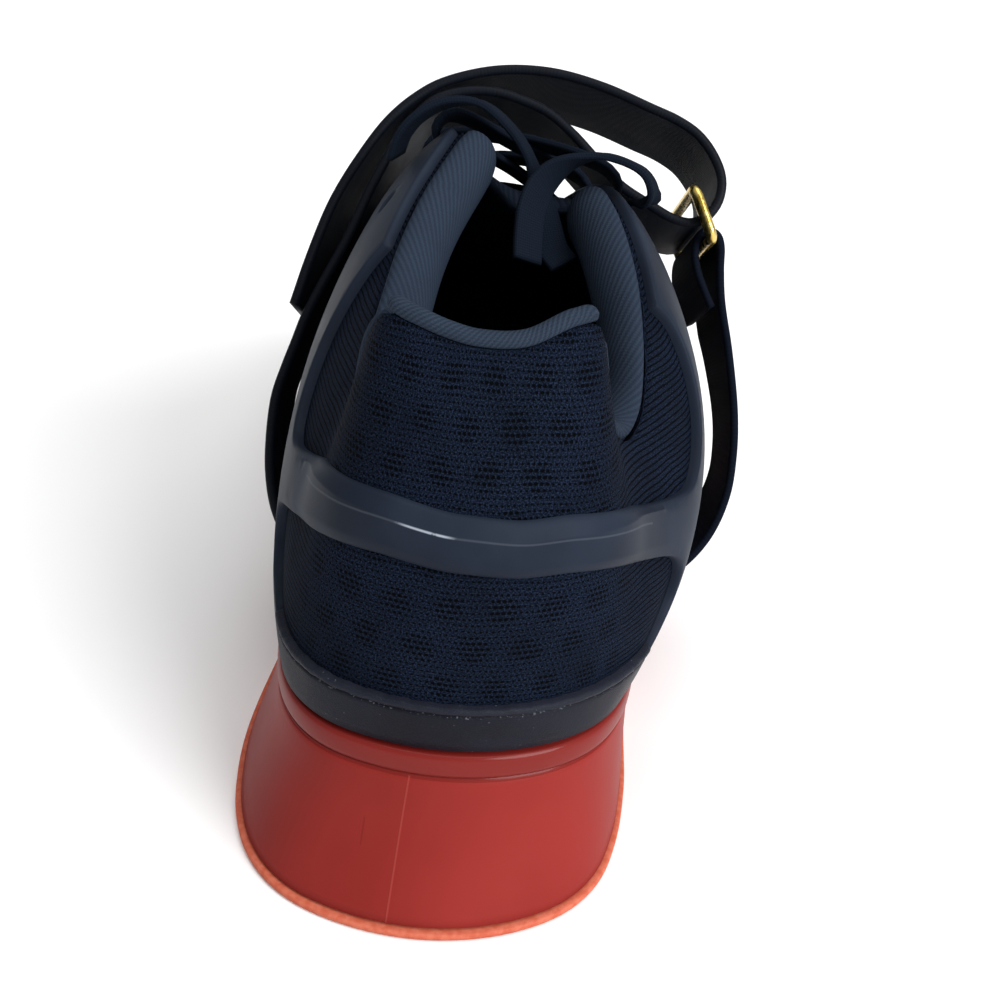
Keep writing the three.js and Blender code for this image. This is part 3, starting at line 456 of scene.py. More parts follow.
def plate(name, loop, height, rim, holes, relief, creases, uvOf):
    # a thin moulded plate on the last with a rounded rim; loop, holes and creases are in (turn, t)
    scale = np.array(plateMesh["scale"])
    flat = thinOut(loop * scale, plateMesh["edgeStep"])
    ahead = unit(np.roll(flat, -1, 0) - np.roll(flat, 1, 0))
    inward = np.stack([-ahead[:, 1], ahead[:, 0]], 1)
    area = np.sum(flat[:, 0] * np.roll(flat[:, 1], -1) - np.roll(flat[:, 0], -1) * flat[:, 1])
    if area < 0:
        inward = -inward
    rings = [flat + inward * distance for distance, _ in rim]
    lo, hi = flat.min(0), flat.max(0)
    xs, ys = np.meshgrid(*(np.arange(lo[k], hi[k], plateMesh["cell"]) for k in (0, 1)))
    inside = np.stack([xs.ravel(), ys.ravel()], 1)
    inside = inside[insideLoop(inside, rings[-1]) & (fromSpots(inside, rings[-1]) > plateMesh["edgeClear"])]
    bores, holeRings = [], []
    for turn, t, radius in holes:
        middle, stretch = holeOnPlate(turn, t, scale)
        bores.append((middle, stretch, radius - plateMesh["bore"]))
        clear = np.linalg.norm((inside - middle) / stretch, axis=1) > radius + plateMesh["holeClear"]
        inside = inside[clear]
        holeRings += [middle + stretch * (radius + grow) * circle(22.5) for grow, _ in holeRims]
    lines = [line * scale for line in creases]
    inside = inside[fromSpots(inside, np.concatenate(lines)) > plateMesh["lineClear"]]

    blocks = rings + holeRings + lines + [inside]
    shares = [1.0] * len(rings) + [share for _, share in holeRims] * len(holes) + [1.0] * (len(lines) + 1)
    lifts = np.concatenate([np.full(len(block), share) for block, share in zip(blocks, shares)])
    edges = []
    start = 0
    for k, block in enumerate(blocks[:-1]):
        count = len(block)
        closed = k < len(rings) + len(holeRings)
        edges += [(start + i, start + (i + 1) % count) for i in range(count if closed else count - 1)]
        start += count
    outerFace = list(range(len(flat)))
    verts, _, faces, origin, _, _ = geometry.delaunay_2d_cdt(
        [Vector(p) for p in np.concatenate(blocks)], edges, [outerFace if area > 0 else outerFace[::-1]],
        1, 1e-5, True)

    spots = np.array([v[:] for v in verts])
    share = np.array([lifts[ids[0]] if ids else 1.0 for ids in origin])
    share *= np.interp(fromLoop(spots, flat), *zip(*rim))
    turns, ts = spots[:, 0] / scale[0], spots[:, 1] / scale[1]
    low = plateMesh["low"]
    skin = offLast(turns, ts, low + (height - low + relief(turns, ts)) * share)
    uv = uvOf(turns, ts)
    middles = np.array([spots[list(face)].mean(0) for face in faces])
    kept = insideLoop(middles, flat)
    for middle, stretch, radius in bores:
        kept &= ~(np.linalg.norm((middles - middle) / stretch, axis=1) < radius)
    keptFaces = [list(face) for face, keep in zip(faces, kept) if keep]
    piece = Piece(name)
    piece.patch(skin, keptFaces, [[uv[k] for k in face] for face in keptFaces])
    return piece


# Materials
class Term:
    # a shader socket that can be used in sums
    def __init__(self, finish, socket):
        self.finish, self.socket = finish, socket

    def maths(self, operation, *values):
        return self.finish.node("ShaderNodeMath", {"operation": operation}, dict(enumerate(values)))

    def __add__(self, other):
        return self.maths("ADD", self, other)

    def __sub__(self, other):
        return self.maths("SUBTRACT", self, other)

    def __rsub__(self, other):
        return self.maths("SUBTRACT", other, self)

    def __mul__(self, other):
        return self.maths("MULTIPLY", self, other)

    def __truediv__(self, other):
        return self.maths("DIVIDE", self, other)

    def __lt__(self, other):
        return self.maths("LESS_THAN", self, other)

    def __abs__(self):
        return self.maths("ABSOLUTE", self)

    __radd__ = __add__
    __rmul__ = __mul__

    def least(self, other):
        return self.maths("MINIMUM", self, other)

    def most(self, other):
        return self.maths("MAXIMUM", self, other)

    def wave(self, period):
        return self.maths("SINE", self * (2 * math.pi / period))

    def fraction(self):
        return self.maths("FRACT", self)

    def floor(self):
        return self.maths("FLOOR", self)

    def root(self):
        return self.maths("SQRT", self)

    def ramp(self, low, high, start=0.0, end=1.0):
        return self.finish.node("ShaderNodeMapRange", {"clamp": True, "interpolation_type": "SMOOTHSTEP"}, {
            "Value": self, "From Min": low, "From Max": high, "To Min": start, "To Max": end})


class Finish:
    # one material: fixed numbers go straight onto the shader, varying ones through nodes
    def __init__(self, name, **fixed):
        self.material = bpy.data.materials.new(name)
        self.material.use_nodes = True
        self.tree = self.material.node_tree
        self.shader = self.tree.nodes["Principled BSDF"]
        for label, value in fixed.items():
            self.shader.inputs[label.replace("_", " ")].default_value = value

    def node(self, kind, settings=None, values=None, out=0):
        node = self.tree.nodes.new(kind)
        for label, value in (settings or {}).items():
            setattr(node, label, value)
        for label, value in (values or {}).items():
            socket = node.inputs[label]
            if isinstance(value, Term):
                self.tree.links.new(value.socket, socket)
            else:
                socket.default_value = value
        return Term(self, node.outputs[out])

    def lay(self):
        return self.node("ShaderNodeUVMap", {"uv_map": "lay"})

    def spot(self):
        return self.node("ShaderNodeTexCoord", out="Object")

    def part(self, vector, axis):
        return self.node("ShaderNodeSeparateXYZ", values={0: vector}, out=axis)

    def both(self, vector):
        return self.part(vector, 0), self.part(vector, 1)

    def vector(self, operation, *values, out=0):
        return self.node("ShaderNodeVectorMath", {"operation": operation}, dict(enumerate(values)), out)

    def noise(self, vector, scale, detail=2.0):
        return self.node("ShaderNodeTexNoise", values={"Vector": vector, "Scale": scale, "Detail": detail})

    def fibres(self, vector, scale, detail=2.0):
        # noise that is finer along some axes
        return self.noise(self.vector("MULTIPLY", vector, scale), 1.0, detail)

    def mix(self, share, *pair):
        a, b = (rgba(tone) if isinstance(tone, str) else tone for tone in pair)
        return self.node("ShaderNodeMix", {"data_type": "RGBA"}, {0: share, 6: a, 7: b}, out=2)

    def bump(self, height, distance, strength):
        return self.node("ShaderNodeBump", values={
            "Strength": strength, "Distance": distance, "Height": height})

    def wear(self, **links):
        for label, value in links.items():
            self.tree.links.new(value.socket, self.shader.inputs[label.replace("_", " ")])
        return self.material


def rgba(text):
    # a colour as it looks on screen
    values = [int(text[k:k + 2], 16) / 255 for k in (0, 2, 4)]
    return (*(v / 12.92 if v <= 0.04045 else ((v + 0.055) / 1.055) ** 2.4 for v in values), 1)


def hexSpots(finish, lay, pitch):
    # distance from the nearest point of a honeycomb of that pitch, in the same mm as lay
    cell = (pitch, pitch * math.sqrt(3), 1)
    flat = finish.vector("MULTIPLY", lay, (1, 1, 0))
    distances = []
    for shift in ((0, 0, 0), (0.5, 0.5, 0)):
        inCell = finish.vector("FRACTION", finish.vector("ADD", finish.vector("DIVIDE", flat, cell), shift))
        centred = finish.vector("SUBTRACT", inCell, (0.5, 0.5, 0))
        away = finish.vector("MULTIPLY", centred, (cell[0], cell[1], 0))
        distances.append(finish.vector("LENGTH", away, out="Value"))
    return distances[0].least(distances[1])


# tones as they look on screen: the ground first, then the marks on it
tones = dict(
    # the mesh's hole tone is painted shade: the holes are drawn, not cut, and are near-black for the shade
    # inside them
    mesh=dict(ground="070c16", thread="1f2a3e", hole="020305", border="04070d"),
    # the film's palest tone is a painted highlight along the heel band's crease
    film=dict(dark="1a202b", light="232a37", creaseHighlight="a9b1bd"),
    # the leather's groove tone is painted shade in the stitched groove below the folded edge
    leather=dict(dark="0f1119", light="171923", strip="20232e", groove="040507", dust="7d8088"),
    # the heel's groove tone is painted shade in the groove below the rim and in the scratch's dent; its seam
    # tone is a painted highlight on the raised seam
    heel=dict(dark="792420", light="852a26", rim="6c1c18", groove="5c130e", seam="9a443c"),
    rubber=dict(dark="b4563f", light="c06851", tread="8f3219"),
    strap=dict(dark="0a0f18", light="121a27", scuff="303947"),
    brass=dict(dark="c8a544", light="f3d987", tarnish="80662a"),
    # the insole tones are painted light: far lighter than the dark cloth, standing in for the faint light
    # inside the shoe
    insole=dict(dark="4a5260", light="5d6675", worn="b8a48e"),
    floor=dict(dark="f4f4f4", light="f8f8f8"),
)
meshSizes = dict(row=1.16, column=1.02, cluster=9.2, ribsFrom=27, ribsTo=44)
leatherSizes = dict(fold=9.0, stitch=2.1)  # the fold's groove above the strip's foot, and the stitch length


def makeMeshCloth():
    tone = tones["mesh"]
    f = Finish("navyMeshCloth", Roughness=0.85, Specular_IOR_Level=0.03)
    lay = f.lay()
    u, v = f.both(lay)
    fine = f.noise(lay, 3.4)
    row = (v + f.noise(lay, 0.06, 1.0) * 1.8) / meshSizes["row"]
    column = u / meshSizes["column"] + (row.floor() * 0.5).fraction() + (fine - 0.5) * 0.35
    ribs = abs(u).ramp(meshSizes["ribsFrom"], meshSizes["ribsTo"])  # holes join along the rows at the sides
    wide = (column.fraction() - 0.5) * meshSizes["column"] * (1 - ribs * 0.8)
    tall = (row.fraction() - 0.5) * meshSizes["row"] * 1.2
    reach = (wide * wide + tall * tall).root()
    shift = f.node("ShaderNodeTexNoise", values={"Vector": lay, "Scale": 0.16}, out=1)
    warped = f.vector("ADD", lay, f.vector("MULTIPLY", shift, (3.2, 3.2, 0)))
    cluster = hexSpots(f, warped, meshSizes["cluster"]).ramp(3.3, 1.7)
    radius = 0.19 + cluster * (1 - ribs) * 0.17 - ribs * 0.03 + (f.noise(lay, 0.8) - 0.5) * 0.22
    hole = (reach - radius).ramp(0.14, -0.1)
    patchy = f.noise(lay, 0.045)
    cloth = f.mix(fine.ramp(0.42, 0.72), tone["ground"], tone["thread"])
    cloth = f.mix(patchy.ramp(0.35, 0.7, 0, 0.35), cloth, tone["border"])
    # painted shade: the drawn holes take a near-black tone for the shade inside them
    colour = f.mix(hole, cloth, tone["hole"])
    return f.wear(Base_Color=colour, Normal=f.bump((1 - hole) + fine * 0.35, 0.0003, 0.8))


def makeKnit(name, dark, light, pitch, slant, ribsAlong=True):
    # padded knit with slanted wales
    f = Finish(name, Roughness=0.9, Specular_IOR_Level=0.05)
    lay = f.lay()
    u, v = f.both(lay)
    along, over = (u, v) if ribsAlong else (v, u)
    grain = f.fibres(lay, (2.6, 2.6, 0), 3.0)
    fibre = f.fibres(lay, (5.0, 5.0, 0))
    wale = (along + over * slant + grain * 0.5).wave(pitch) * 0.5 + 0.5
    stitch = over.wave(pitch * 0.6) * 0.5 + 0.5
    colour = f.mix(wale * 0.5 + stitch * 0.12 + (fibre - 0.5) * 0.7 + 0.18, dark, light)
    colour = f.mix(f.noise(lay, 0.08).ramp(0.4, 0.75, 0, 0.3), colour, dark)
    return f.wear(Base_Color=colour, Normal=f.bump(wale * 0.5 + stitch * 0.2 + fibre * 0.5, 0.00022, 0.6))


def makeFrameFilm():
    tone = tones["film"]
    f = Finish("slateFrameFilm", Specular_IOR_Level=0.05)
    spot = f.spot()
    turn, up = f.both(f.lay())
    fine = f.noise(spot, 1800)
    cloud = f.noise(spot, 40, 3.0)
    colour = f.mix(cloud.ramp(0.35, 0.7), tone["dark"], tone["light"])
    # painted highlight: the crease is drawn paler, faintly along its whole length and strongly over a short
    # noisy stretch
    onCrease = (abs(up - 0.665) - 0.008).ramp(0.022, -0.006) * (abs(turn) < 30)
    creaseHighlight = onCrease * turn.ramp(-10.5, -7.5) * turn.ramp(-0.5, -3) * f.noise(spot, 700).ramp(0.25, 0.45)
    colour = f.mix((onCrease * 0.06).most(creaseHighlight * 0.75), colour, tone["creaseHighlight"])
    rough = cloud.ramp(0.3, 0.7, 0.42, 0.54)
    return f.wear(Base_Color=colour, Roughness=rough, Normal=f.bump(fine, 0.00003, 0.35))


def makeLeather():
    tone = tones["leather"]
    f = Finish("navySyntheticLeather", Specular_IOR_Level=0.1)
    spot = f.spot()
    u, v = f.both(f.lay())
    cells = f.node("ShaderNodeTexVoronoi", {"feature": "DISTANCE_TO_EDGE"}, {"Vector": spot, "Scale": 1500.0})
    cloud = f.noise(spot, 60, 3.0)
    ragged = f.noise(spot, 900)
    colour = f.mix(cloud.ramp(0.3, 0.7), tone["dark"], tone["light"])
    fromFold = v - leatherSizes["fold"] + (ragged - 0.5) * 0.35
    strip = fromFold.ramp(0.15, 0.35)
    colour = f.mix(strip * 0.55, colour, tone["strip"])
    groove = (abs(fromFold) - 0.12).ramp(0.16, -0.04)
    stitch = groove * u.wave(leatherSizes["stitch"]).ramp(-0.6, -0.1)
    # painted shade: the stitched groove is darkened
    colour = f.mix(groove * 0.8, colour, tone["groove"])
    glue = (abs(fromFold + 0.25) - 0.1).ramp(0.3, 0) * f.noise(spot, 1700, 1.0).ramp(0.6, 0.66)
    dust = f.noise(spot, 1400, 1.0).ramp(0.765, 0.8)
    colour = f.mix((glue * 0.35).most(dust * 0.4), colour, tone["dust"])
    rough = cloud.ramp(0.3, 0.7, 0.4, 0.54)
    height = cells.ramp(0, 0.12) * 0.25 - groove + stitch * 1.2 + ragged * 0.3 + glue * 0.4
    return f.wear(Base_Color=colour, Roughness=rough, Normal=f.bump(height, 0.0002, 0.6))


def makeHeelRed():
    tone = tones["heel"]
    f = Finish("coralMouldedHeel", Specular_IOR_Level=0.05, Coat_Roughness=0.12)
    spot = f.spot()
    x, y, z = (f.part(spot, k) for k in range(3))
    down = f.part(f.lay(), 1)
    rim = down.ramp(-5.3, -5.0)
    # painted shade: a thin line below the rim is darkened as the groove's shade
    groove = (abs(down + 5.35) - 0.22).ramp(0.12, -0.08)
    seamX = x + 0.0082 - z * 0.075
    back = y < -0.03
    # painted highlight: the raised mould seam is drawn lighter where its edge catches light
    seam = (abs(seamX) * 1000 - 0.14).ramp(0.1, -0.05) * back * (1 - rim)
    # a short scratch, a real mark, dented, with painted shade in its dent
    tick = (abs(seamX + 0.0068) * 1000 - 0.14).ramp(0.1, -0.05) * back
    tick = tick * down.ramp(-21, -20) * down.ramp(-15, -16)
    cloud = f.noise(spot, 22, 3.0)
    speck = f.noise(spot, 900, 1.0)
    colour = f.mix(cloud.ramp(0.3, 0.7), tone["dark"], tone["light"])
    colour = f.mix(rim * 0.8, colour, tone["rim"])
    colour = f.mix((groove * 0.45).most(tick * 0.2), colour, tone["groove"])
    # painted highlight: the seam is mixed towards a lighter red
    colour = f.mix(seam * 0.4, colour, tone["seam"])
    rough = cloud.ramp(0.3, 0.7, 0.38, 0.48)
    bump = f.bump(speck * 0.12 + seam * 0.5 - tick * 0.4 - groove, 0.0002, 0.5)
    return f.wear(Base_Color=colour, Roughness=rough, Coat_Weight=rim * 0.22, Normal=bump)


def makeRubber():
    tone = tones["rubber"]
    f = Finish("orangeOutsoleRubber", Roughness=0.62, Specular_IOR_Level=0.1)
    spot = f.spot()
    tread = hexSpots(f, f.vector("MULTIPLY", spot, (1000, 1000, 0)), 5.2).ramp(1.9, 2.3)
    under = f.part(f.node("ShaderNodeNewGeometry", out="Normal"), 2) < -0.8
    grain = f.noise(spot, 700)
    colour = f.mix(grain.ramp(0.3, 0.7), tone["dark"], tone["light"])
    colour = f.mix(tread * under * 0.4, colour, tone["tread"])
    return f.wear(Base_Color=colour, Normal=f.bump(grain * 0.1 - tread * under, 0.0004, 0.6))


def makeStrapCloth():
    tone = tones["strap"]
    f = Finish("blackStrapCloth", Specular_IOR_Level=0.08)
    spot = f.spot()
    u, v = f.both(f.lay())
    weave = (u.wave(0.9) * v.wave(0.9)) * 0.5 + 0.5
    cloud = f.noise(spot, 35, 3.0)
    scuff = f.noise(spot, 160, 4.0).ramp(0.66, 0.76)
    colour = f.mix(cloud.ramp(0.3, 0.75), tone["dark"], tone["light"])
    colour = f.mix(scuff * 0.2, colour, tone["scuff"])
    rough = cloud.ramp(0.3, 0.7, 0.55, 0.72)
    return f.wear(Base_Color=colour, Roughness=rough, Normal=f.bump(weave + scuff, 0.00015, 0.5))


def makeEdgeCloth(name, dark, light):
    # bound or cut edge with fine cross threads
    f = Finish(name, Roughness=0.5, Specular_IOR_Level=0.08)
    lay = f.lay()
    grain = f.fibres(lay, (2.0, 2.0, 0))
    threads = (f.part(lay, 1) + grain * 0.6).wave(0.8) * 0.5 + 0.5
    colour = f.mix(threads * 0.3 + grain * 0.7, dark, light)
    return f.wear(Base_Color=colour, Normal=f.bump(threads * 0.5 + grain, 0.0001, 0.4))


def makeWeave(name, dark, light, pitch):
    # flat woven cord or webbing
    f = Finish(name, Roughness=0.85, Specular_IOR_Level=0.04)
    lay = f.lay()
    u, v = f.both(lay)
    leftRun, rightRun = (u + v).wave(pitch * 1.6), (u - v).wave(pitch * 1.6)
    knit = (leftRun * rightRun) * 0.5 + 0.5
    grain = f.fibres(lay, (3, 3, 0))
    colour = f.mix(knit * 0.5 + grain * 0.5, dark, light)
    return f.wear(Base_Color=colour, Normal=f.bump(knit * 0.6 + grain * 0.5, 0.00016, 0.6))


def makeBrass():
    tone = tones["brass"]
    f = Finish("brushedGoldWire", Metallic=1.0)
    spot = f.spot()
    brush = f.fibres(spot, (900, 900, 120), 3.0)
    cloud = f.noise(spot, 300)
    colour = f.mix(brush.ramp(0.3, 0.7), tone["dark"], tone["light"])
    colour = f.mix(cloud.ramp(0.58, 0.78, 0, 0.5), colour, tone["tarnish"])
    rough = brush.ramp(0.3, 0.7, 0.22, 0.38)
    return f.wear(Base_Color=colour, Roughness=rough, Normal=f.bump(brush, 0.00006, 0.5))


def makeInsoleCloth():
    tone = tones["insole"]
    f = Finish("insoleClothPaintedLight", Roughness=0.9, Specular_IOR_Level=0.1)
    spot = f.spot()
    fine = f.noise(spot, 1500)
    fromWorn = f.vector("MULTIPLY", f.vector("SUBTRACT", spot, (0.012, 0.236, 0)), (1.6, 0.7, 0))
    middle = f.vector("LENGTH", fromWorn, out="Value")
    worn = (middle + f.noise(spot, 90, 3.0) * 0.016).ramp(0.03, 0.014)
    worn = worn * f.noise(spot, 260, 3.0).ramp(0.35, 0.55)
    # painted light: the whole insole is lighter than its cloth, for the faint light that reaches inside; the
    # worn patch is real wear
    colour = f.mix(fine.ramp(0.3, 0.7), tone["dark"], tone["light"])
    colour = f.mix(worn * 0.85, colour, tone["worn"])
    return f.wear(Base_Color=colour, Normal=f.bump(fine, 0.0002, 0.5))


navyMesh = makeMeshCloth()
collarKnit = makeKnit("twillCollarKnit", "1c232f", "2c3644", pitch=1.1, slant=0.5)
bindingKnit = makeKnit("ribbedBindingKnit", "1c2430", "323c4a", pitch=0.9, slant=0.7, ribsAlong=False)
# painted light: the lining's tones are much lighter than the dark lining, standing in for the faint light
# inside the shoe
liningKnit = makeKnit("liningKnitPaintedLight", "2a3342", "465265", pitch=1.6, slant=0.3)
frameFilm = makeFrameFilm()
leather = makeLeather()
heelRed = makeHeelRed()
rubber = makeRubber()
strapCloth = makeStrapCloth()
strapEdge = makeEdgeCloth("strapCutEdge", "06090f", "0e121b")
anchorWeb = makeWeave("navyAnchorWeb", "05080f", "0e1420", pitch=1.1)
laceWeave = makeWeave("navyFlatLace", "070b12", "131a26", pitch=0.7)
laceEndWeave = makeWeave("greyNavyFlatLace", "080c13", "151d29", pitch=0.7)
brass = makeBrass()
insoleCloth = makeInsoleCloth()
print("materials ready")

# Camera, set first
photo = dict(
    eye=(-2.8, -231.8, 183.0), right=(0.9816, 0.1908, 0.0), forward=(-0.1700, 0.8746, -0.4540),
    up=(-0.0866, 0.4456, 0.8910), turnRight=11.9, focalPixels=1356, pixels=1000, sensor=36,
)


def placeCamera():
    right, forward, up = (Vector(photo[name]) for name in ("right", "forward", "up"))
    angle = math.radians(photo["turnRight"])
    ahead = forward * math.cos(angle) + right * math.sin(angle)
    side = right * math.cos(angle) - forward * math.sin(angle)
    lens = bpy.data.cameras.new("photoCamera")
    lens.sensor_width = photo["sensor"]
    lens.lens = photo["focalPixels"] * photo["sensor"] / photo["pixels"]
    lens.clip_start = 0.01
    camera = place("photoCamera", lens)
    camera.matrix_world = Matrix(
        [(side[k], up[k], -ahead[k], photo["eye"][k] / 1000) for k in range(3)] + [(0, 0, 0, 1)])
    bpy.context.scene.camera = camera


placeCamera()

# Laces: two ends tucked inside, crossings over the tongue
lace = dict(
    width=7.0, thickness=1.5, rounding=0.6, edgeOn=(0.3, 1, -0.25), crossFlat=(0, 1, -0.5), endSteps=60,
    crossSteps=44, overAt=0.985, overLift=0.8, bulge=1.6, outerBulge=0.9, innerBulge=-0.5, frameUnder=1.8,
    overFrame=0.9, overUpper=0.5, dip=0.7, neck=0.5, neckFrom=0.03, neckRun=0.12,
)
laceSection = roundedLoop(lace["width"] / 2, lace["thickness"] / 2, lace["rounding"], 4)
outerEndPath = [
    (32.2, 57.4, 113.4), (33.8, 54.7, 114.8), (33.5, 53.4, 117.8), (30.8, 52.5, 121.2), (23, 52.5, 123.4),
    (16.5, 51, 122), (11, 47.5, 118.5), (8.6, 43.5, 114), (8.2, 39.5, 109), (8.4, 36, 104.5),
]
innerEndPath = [
    (-20.6, 55, 119), (-19.2, 54, 123.6), (-16.2, 54, 127.6), (-10.6, 55, 130.8), (-3.8, 56, 131),
    (3.4, 57.2, 126), (8, 56, 120), (10.5, 52, 113.5), (12.3, 47.6, 108), (13.9, 44.4, 104.8),
    (16.4, 41.8, 102.8),
]


def laceEnd(name, points, node, turning, flatSide):
    # the flat side turns from edge-on to flatSide between two shares of the path
    piece = Piece(name)
    path = spline(points, lace["endSteps"])
    share = np.linspace(0, 1, lace["endSteps"])
    turned = smoothStep((share - turning[0]) / (turning[1] - turning[0]))[:, None]
    sweep(piece, path, laceSection, np.array(lace["edgeOn"]) * (1 - turned) + np.array(flatSide) * turned)
    made = piece.build([laceEndWeave], "lace_weave", node)


laceEnd("laceEndOuter", outerEndPath, "lace_end_outer", (0.2, 0.65), (0.75, 0.65, 0))
laceEnd("laceEndInner", innerEndPath, "lace_end_inner", (0.6, 0.9), (1, 0.15, 0))

eyelets = [(77, 0.935), (87, 0.93), (97, 0.92), (107, 0.905), (117, 0.89)]
eyeletRadius = 2.1
topHole = (66, 0.86)  # turn and t of the hole above the others


def laceLift(i):
    # the first two eyelets are in the frame
    under = gap + lace["frameUnder"] + lace["overFrame"] if i < 2 else lace["overUpper"]
    return gap + lace["thickness"] / 2 + under


def laceCrossings():
    piece = Piece("laceCrossings")
    count = lace["crossSteps"]
    for i, side in [(0, 1), (0, -1)] + [(i, side) for i in range(1, 4) for side in (1, -1)]:
        (turnA, tA), (turnB, tB) = eyelets[i], eyelets[i + 1]
        low, high = laceLift(i), laceLift(i + 1)
        overAt, overLow, overHigh = lace["overAt"], low + lace["overLift"], high + lace["overLift"]
        start = [offLast(side * turnA, tA, off) for off in (-wall, low * lace["dip"])]
        end = [offLast(-side * turnB, tB, off) for off in (high * lace["dip"], -wall)]
        over = [offLast(side * turnA, overAt, overLow), offLast(-side * turnB, overAt, overHigh)]
        middle = np.mean([offLast(s * turn, overAt, overLow) for s in (1, -1) for turn in (turnA, turnB)], 0)
        middle[2] += lace["bulge"] + (lace["outerBulge"] if side > 0 else lace["innerBulge"])
        path = spline([*start, over[0], middle, over[1], *end], count)
        # narrower where it dips into an eyelet
        clear = (stepsFromEnds(count) / (count - 1) - lace["neckFrom"]) / lace["neckRun"]
        width = lace["neck"] + (1 - lace["neck"]) * smoothStep(clear)
        section = laceSection[None] * np.stack([width, np.ones(count)], 1)[:, None, :]
        sweep(piece, path, section, lace["crossFlat"])
    piece.build([laceWeave], "lace_weave", "lace_crossings")


laceCrossings()
print("laces laid")

# Sole
sole = dict(stations=260, wallRows=16, footShare=0.98, footIn=(3, 0.35), footStep=0.3, footClose=0.4)
soleWall = dict(up=(0, 0.18, 0.4, 0.68, 1), flare=(0.98, 0.74, 0.45, 0.17, 0.04))  # both in shares
rimShape = [  # mm out from the edge, mm down from the top
    (-0.75, 4.95), (-0.6, 4.85), (-0.25, 4.6), (-0.05, 4.2), (0, 3.6), (0.05, 2.4), (0, 1.4), (-0.12, 0.8),
    (-0.4, 0.3), (-0.9, 0), (-4, 0),
]
treadShape = [  # mm out from the flare, share of the tread's height
    (-9, 0), (-1, 0), (-0.3, 0.06), (0.2, 0.18), (0.4, 0.4), (0.42, 0.66), (0.35, 0.86), (0.05, 0.98),
    (-0.6, 1),
]
soleTurns = np.linspace(-180, 180, sole["stations"], endpoint=False)


def soleRing(outwards, z):
    flat = outline(soleTurns, np.broadcast_to(np.asarray(outwards, float), soleTurns.shape))
    return np.concatenate([flat, z(flat[:, 1])[:, None]], 1)


def soleTop(y):
    return seatZ(y) - gap


def soleBottom(y):
    return groundZ(y) + shoe["outsole"] + gap


def closeAcross(row, share=1.0):
    mirror = np.roll(row[::-1], 1, 0)
    return row + (mirror - row) / 2 * share


def soleBody(name, rows, top, finish, slot, node):
    # rows run from the underside's edge up and over; the texture's height is measured from top
    rows = np.array([closeAcross(rows[0]), *rows])
    closed = np.concatenate([rows, rows[:, :1]], 1)
    level = closed[..., 2] - (top(closed[..., 1]) if top else 0)
    piece = Piece(name)
    piece.grid(rows, wrap=True, uv=np.stack([np.broadcast_to(runAlong(closed[0]), level.shape), level], -1))
    piece.build([finish], slot, node)


def buildSole():
    flare = flareShare(soleTurns) * shoe["flare"]
    fineUp = np.linspace(0, 1, sole["wallRows"])
    ups, shares = np.array(soleWall["up"]), np.array(soleWall["flare"])
    fineShare = hermite(fineUp, ups, shares, slopesOf(ups, shares))
    rim = shoe["rimHeight"]
    foot = flare * sole["footShare"] - shoe["rimStep"]
    rows = [soleRing(foot - inwards, soleBottom) for inwards in sole["footIn"]]
    rows[0] = closeAcross(rows[0], sole["footClose"])
    for up, share in zip(fineUp, fineShare):
        lift = sole["footStep"] if up == 0 else 0
        rows.append(soleRing(flare * share - shoe["rimStep"], lambda y: soleBottom(y) + lift
                             + (soleTop(y) - rim - soleBottom(y)) * up))
    rows += [soleRing(out, lambda y: soleTop(y) - down) for out, down in rimShape]
    rows.append(closeAcross(rows[-1]))
    soleBody("heelUnit", rows, soleTop, heelRed, "heel_unit", "heel_unit")

    rows = [soleRing(flare + out, lambda y: groundZ(y) + up * shoe["outsole"]) for out, up in treadShape]
    rows.append(closeAcross(rows[-1]))
    soleBody("outsole", rows, None, rubber, "outsole_rubber", "outsole")


buildSole()
print("sole moulded")

# Upper
upper = dict(ribRows=34, backSteps=90, vampSteps=60, girthAt=0.4, seam=1.5)
backTurns = np.linspace(0, shoe["throatEnd"], upper["backSteps"] + 1)
vampTurns = np.linspace(shoe["throatEnd"], 180, upper["vampSteps"] // 2 + 1)[1:]
halfTurns = np.concatenate([backTurns, vampTurns])
upperTurns = np.concatenate([-halfTurns[:0:-1][1:], halfTurns])  # from just past -180 to 180


def buildUpper():
    ts = np.linspace(0, 1, upper["ribRows"] + 1)
    turns = upperTurns
    run = runAlong(lastPoint(turns, upper["girthAt"]))
    run -= np.interp(0, turns, run)
    piece = Piece("upperShell")
    skins = [offLast(turns[None, :], ts[:, None], off) for off in (0, -wall)]
    for slot, skin in enumerate(skins):
        rise = np.stack([runAlong(skin[:, k]) for k in range(len(turns))], 1)
        uv = np.stack([np.broadcast_to(run, rise.shape), rise], -1)
        closing = np.concatenate([uv, uv[:, -1:] + [upper["seam"], 0]], 1)
        piece.grid(skin, wrap=True, uv=closing, slot=slot, flip=slot == 1)
    outer, inner = skins
    atMouth = np.abs(turns) < shoe["throatEnd"] - 0.01
    for row, use in ((0, np.ones(len(turns), bool)), (-1, atMouth)):
        for i in range(len(turns)):
            j = (i + 1) % len(turns)
            if use[i] or use[j]:
                quad = [outer[row, i], outer[row, j], inner[row, j], inner[row, i]]
                corners = [(run[i], 0), (run[i] + 1, 0), (run[i] + 1, wall), (run[i], wall)]
                piece.patch(quad, [[0, 1, 2, 3]], [corners])
    piece.build([navyMesh, liningKnit], "upper_mesh", "upper")


buildUpper()
print("upper lasted")

# Frame: heel band with an arm up to the laces and one down to the sole on each side
frameSizes = dict(
    thickness=1.8, backAbove=0.64, backBelow=0.501, backReach=14, backBlend=3,
    creaseEnd=38, fadeFrom=30, fadeTo=44,
)
frameRim = [(0, 0), (0.1, 0.45), (0.3, 0.78), (0.65, 0.95), (1.1, 1)]  # mm in from the edge, height share
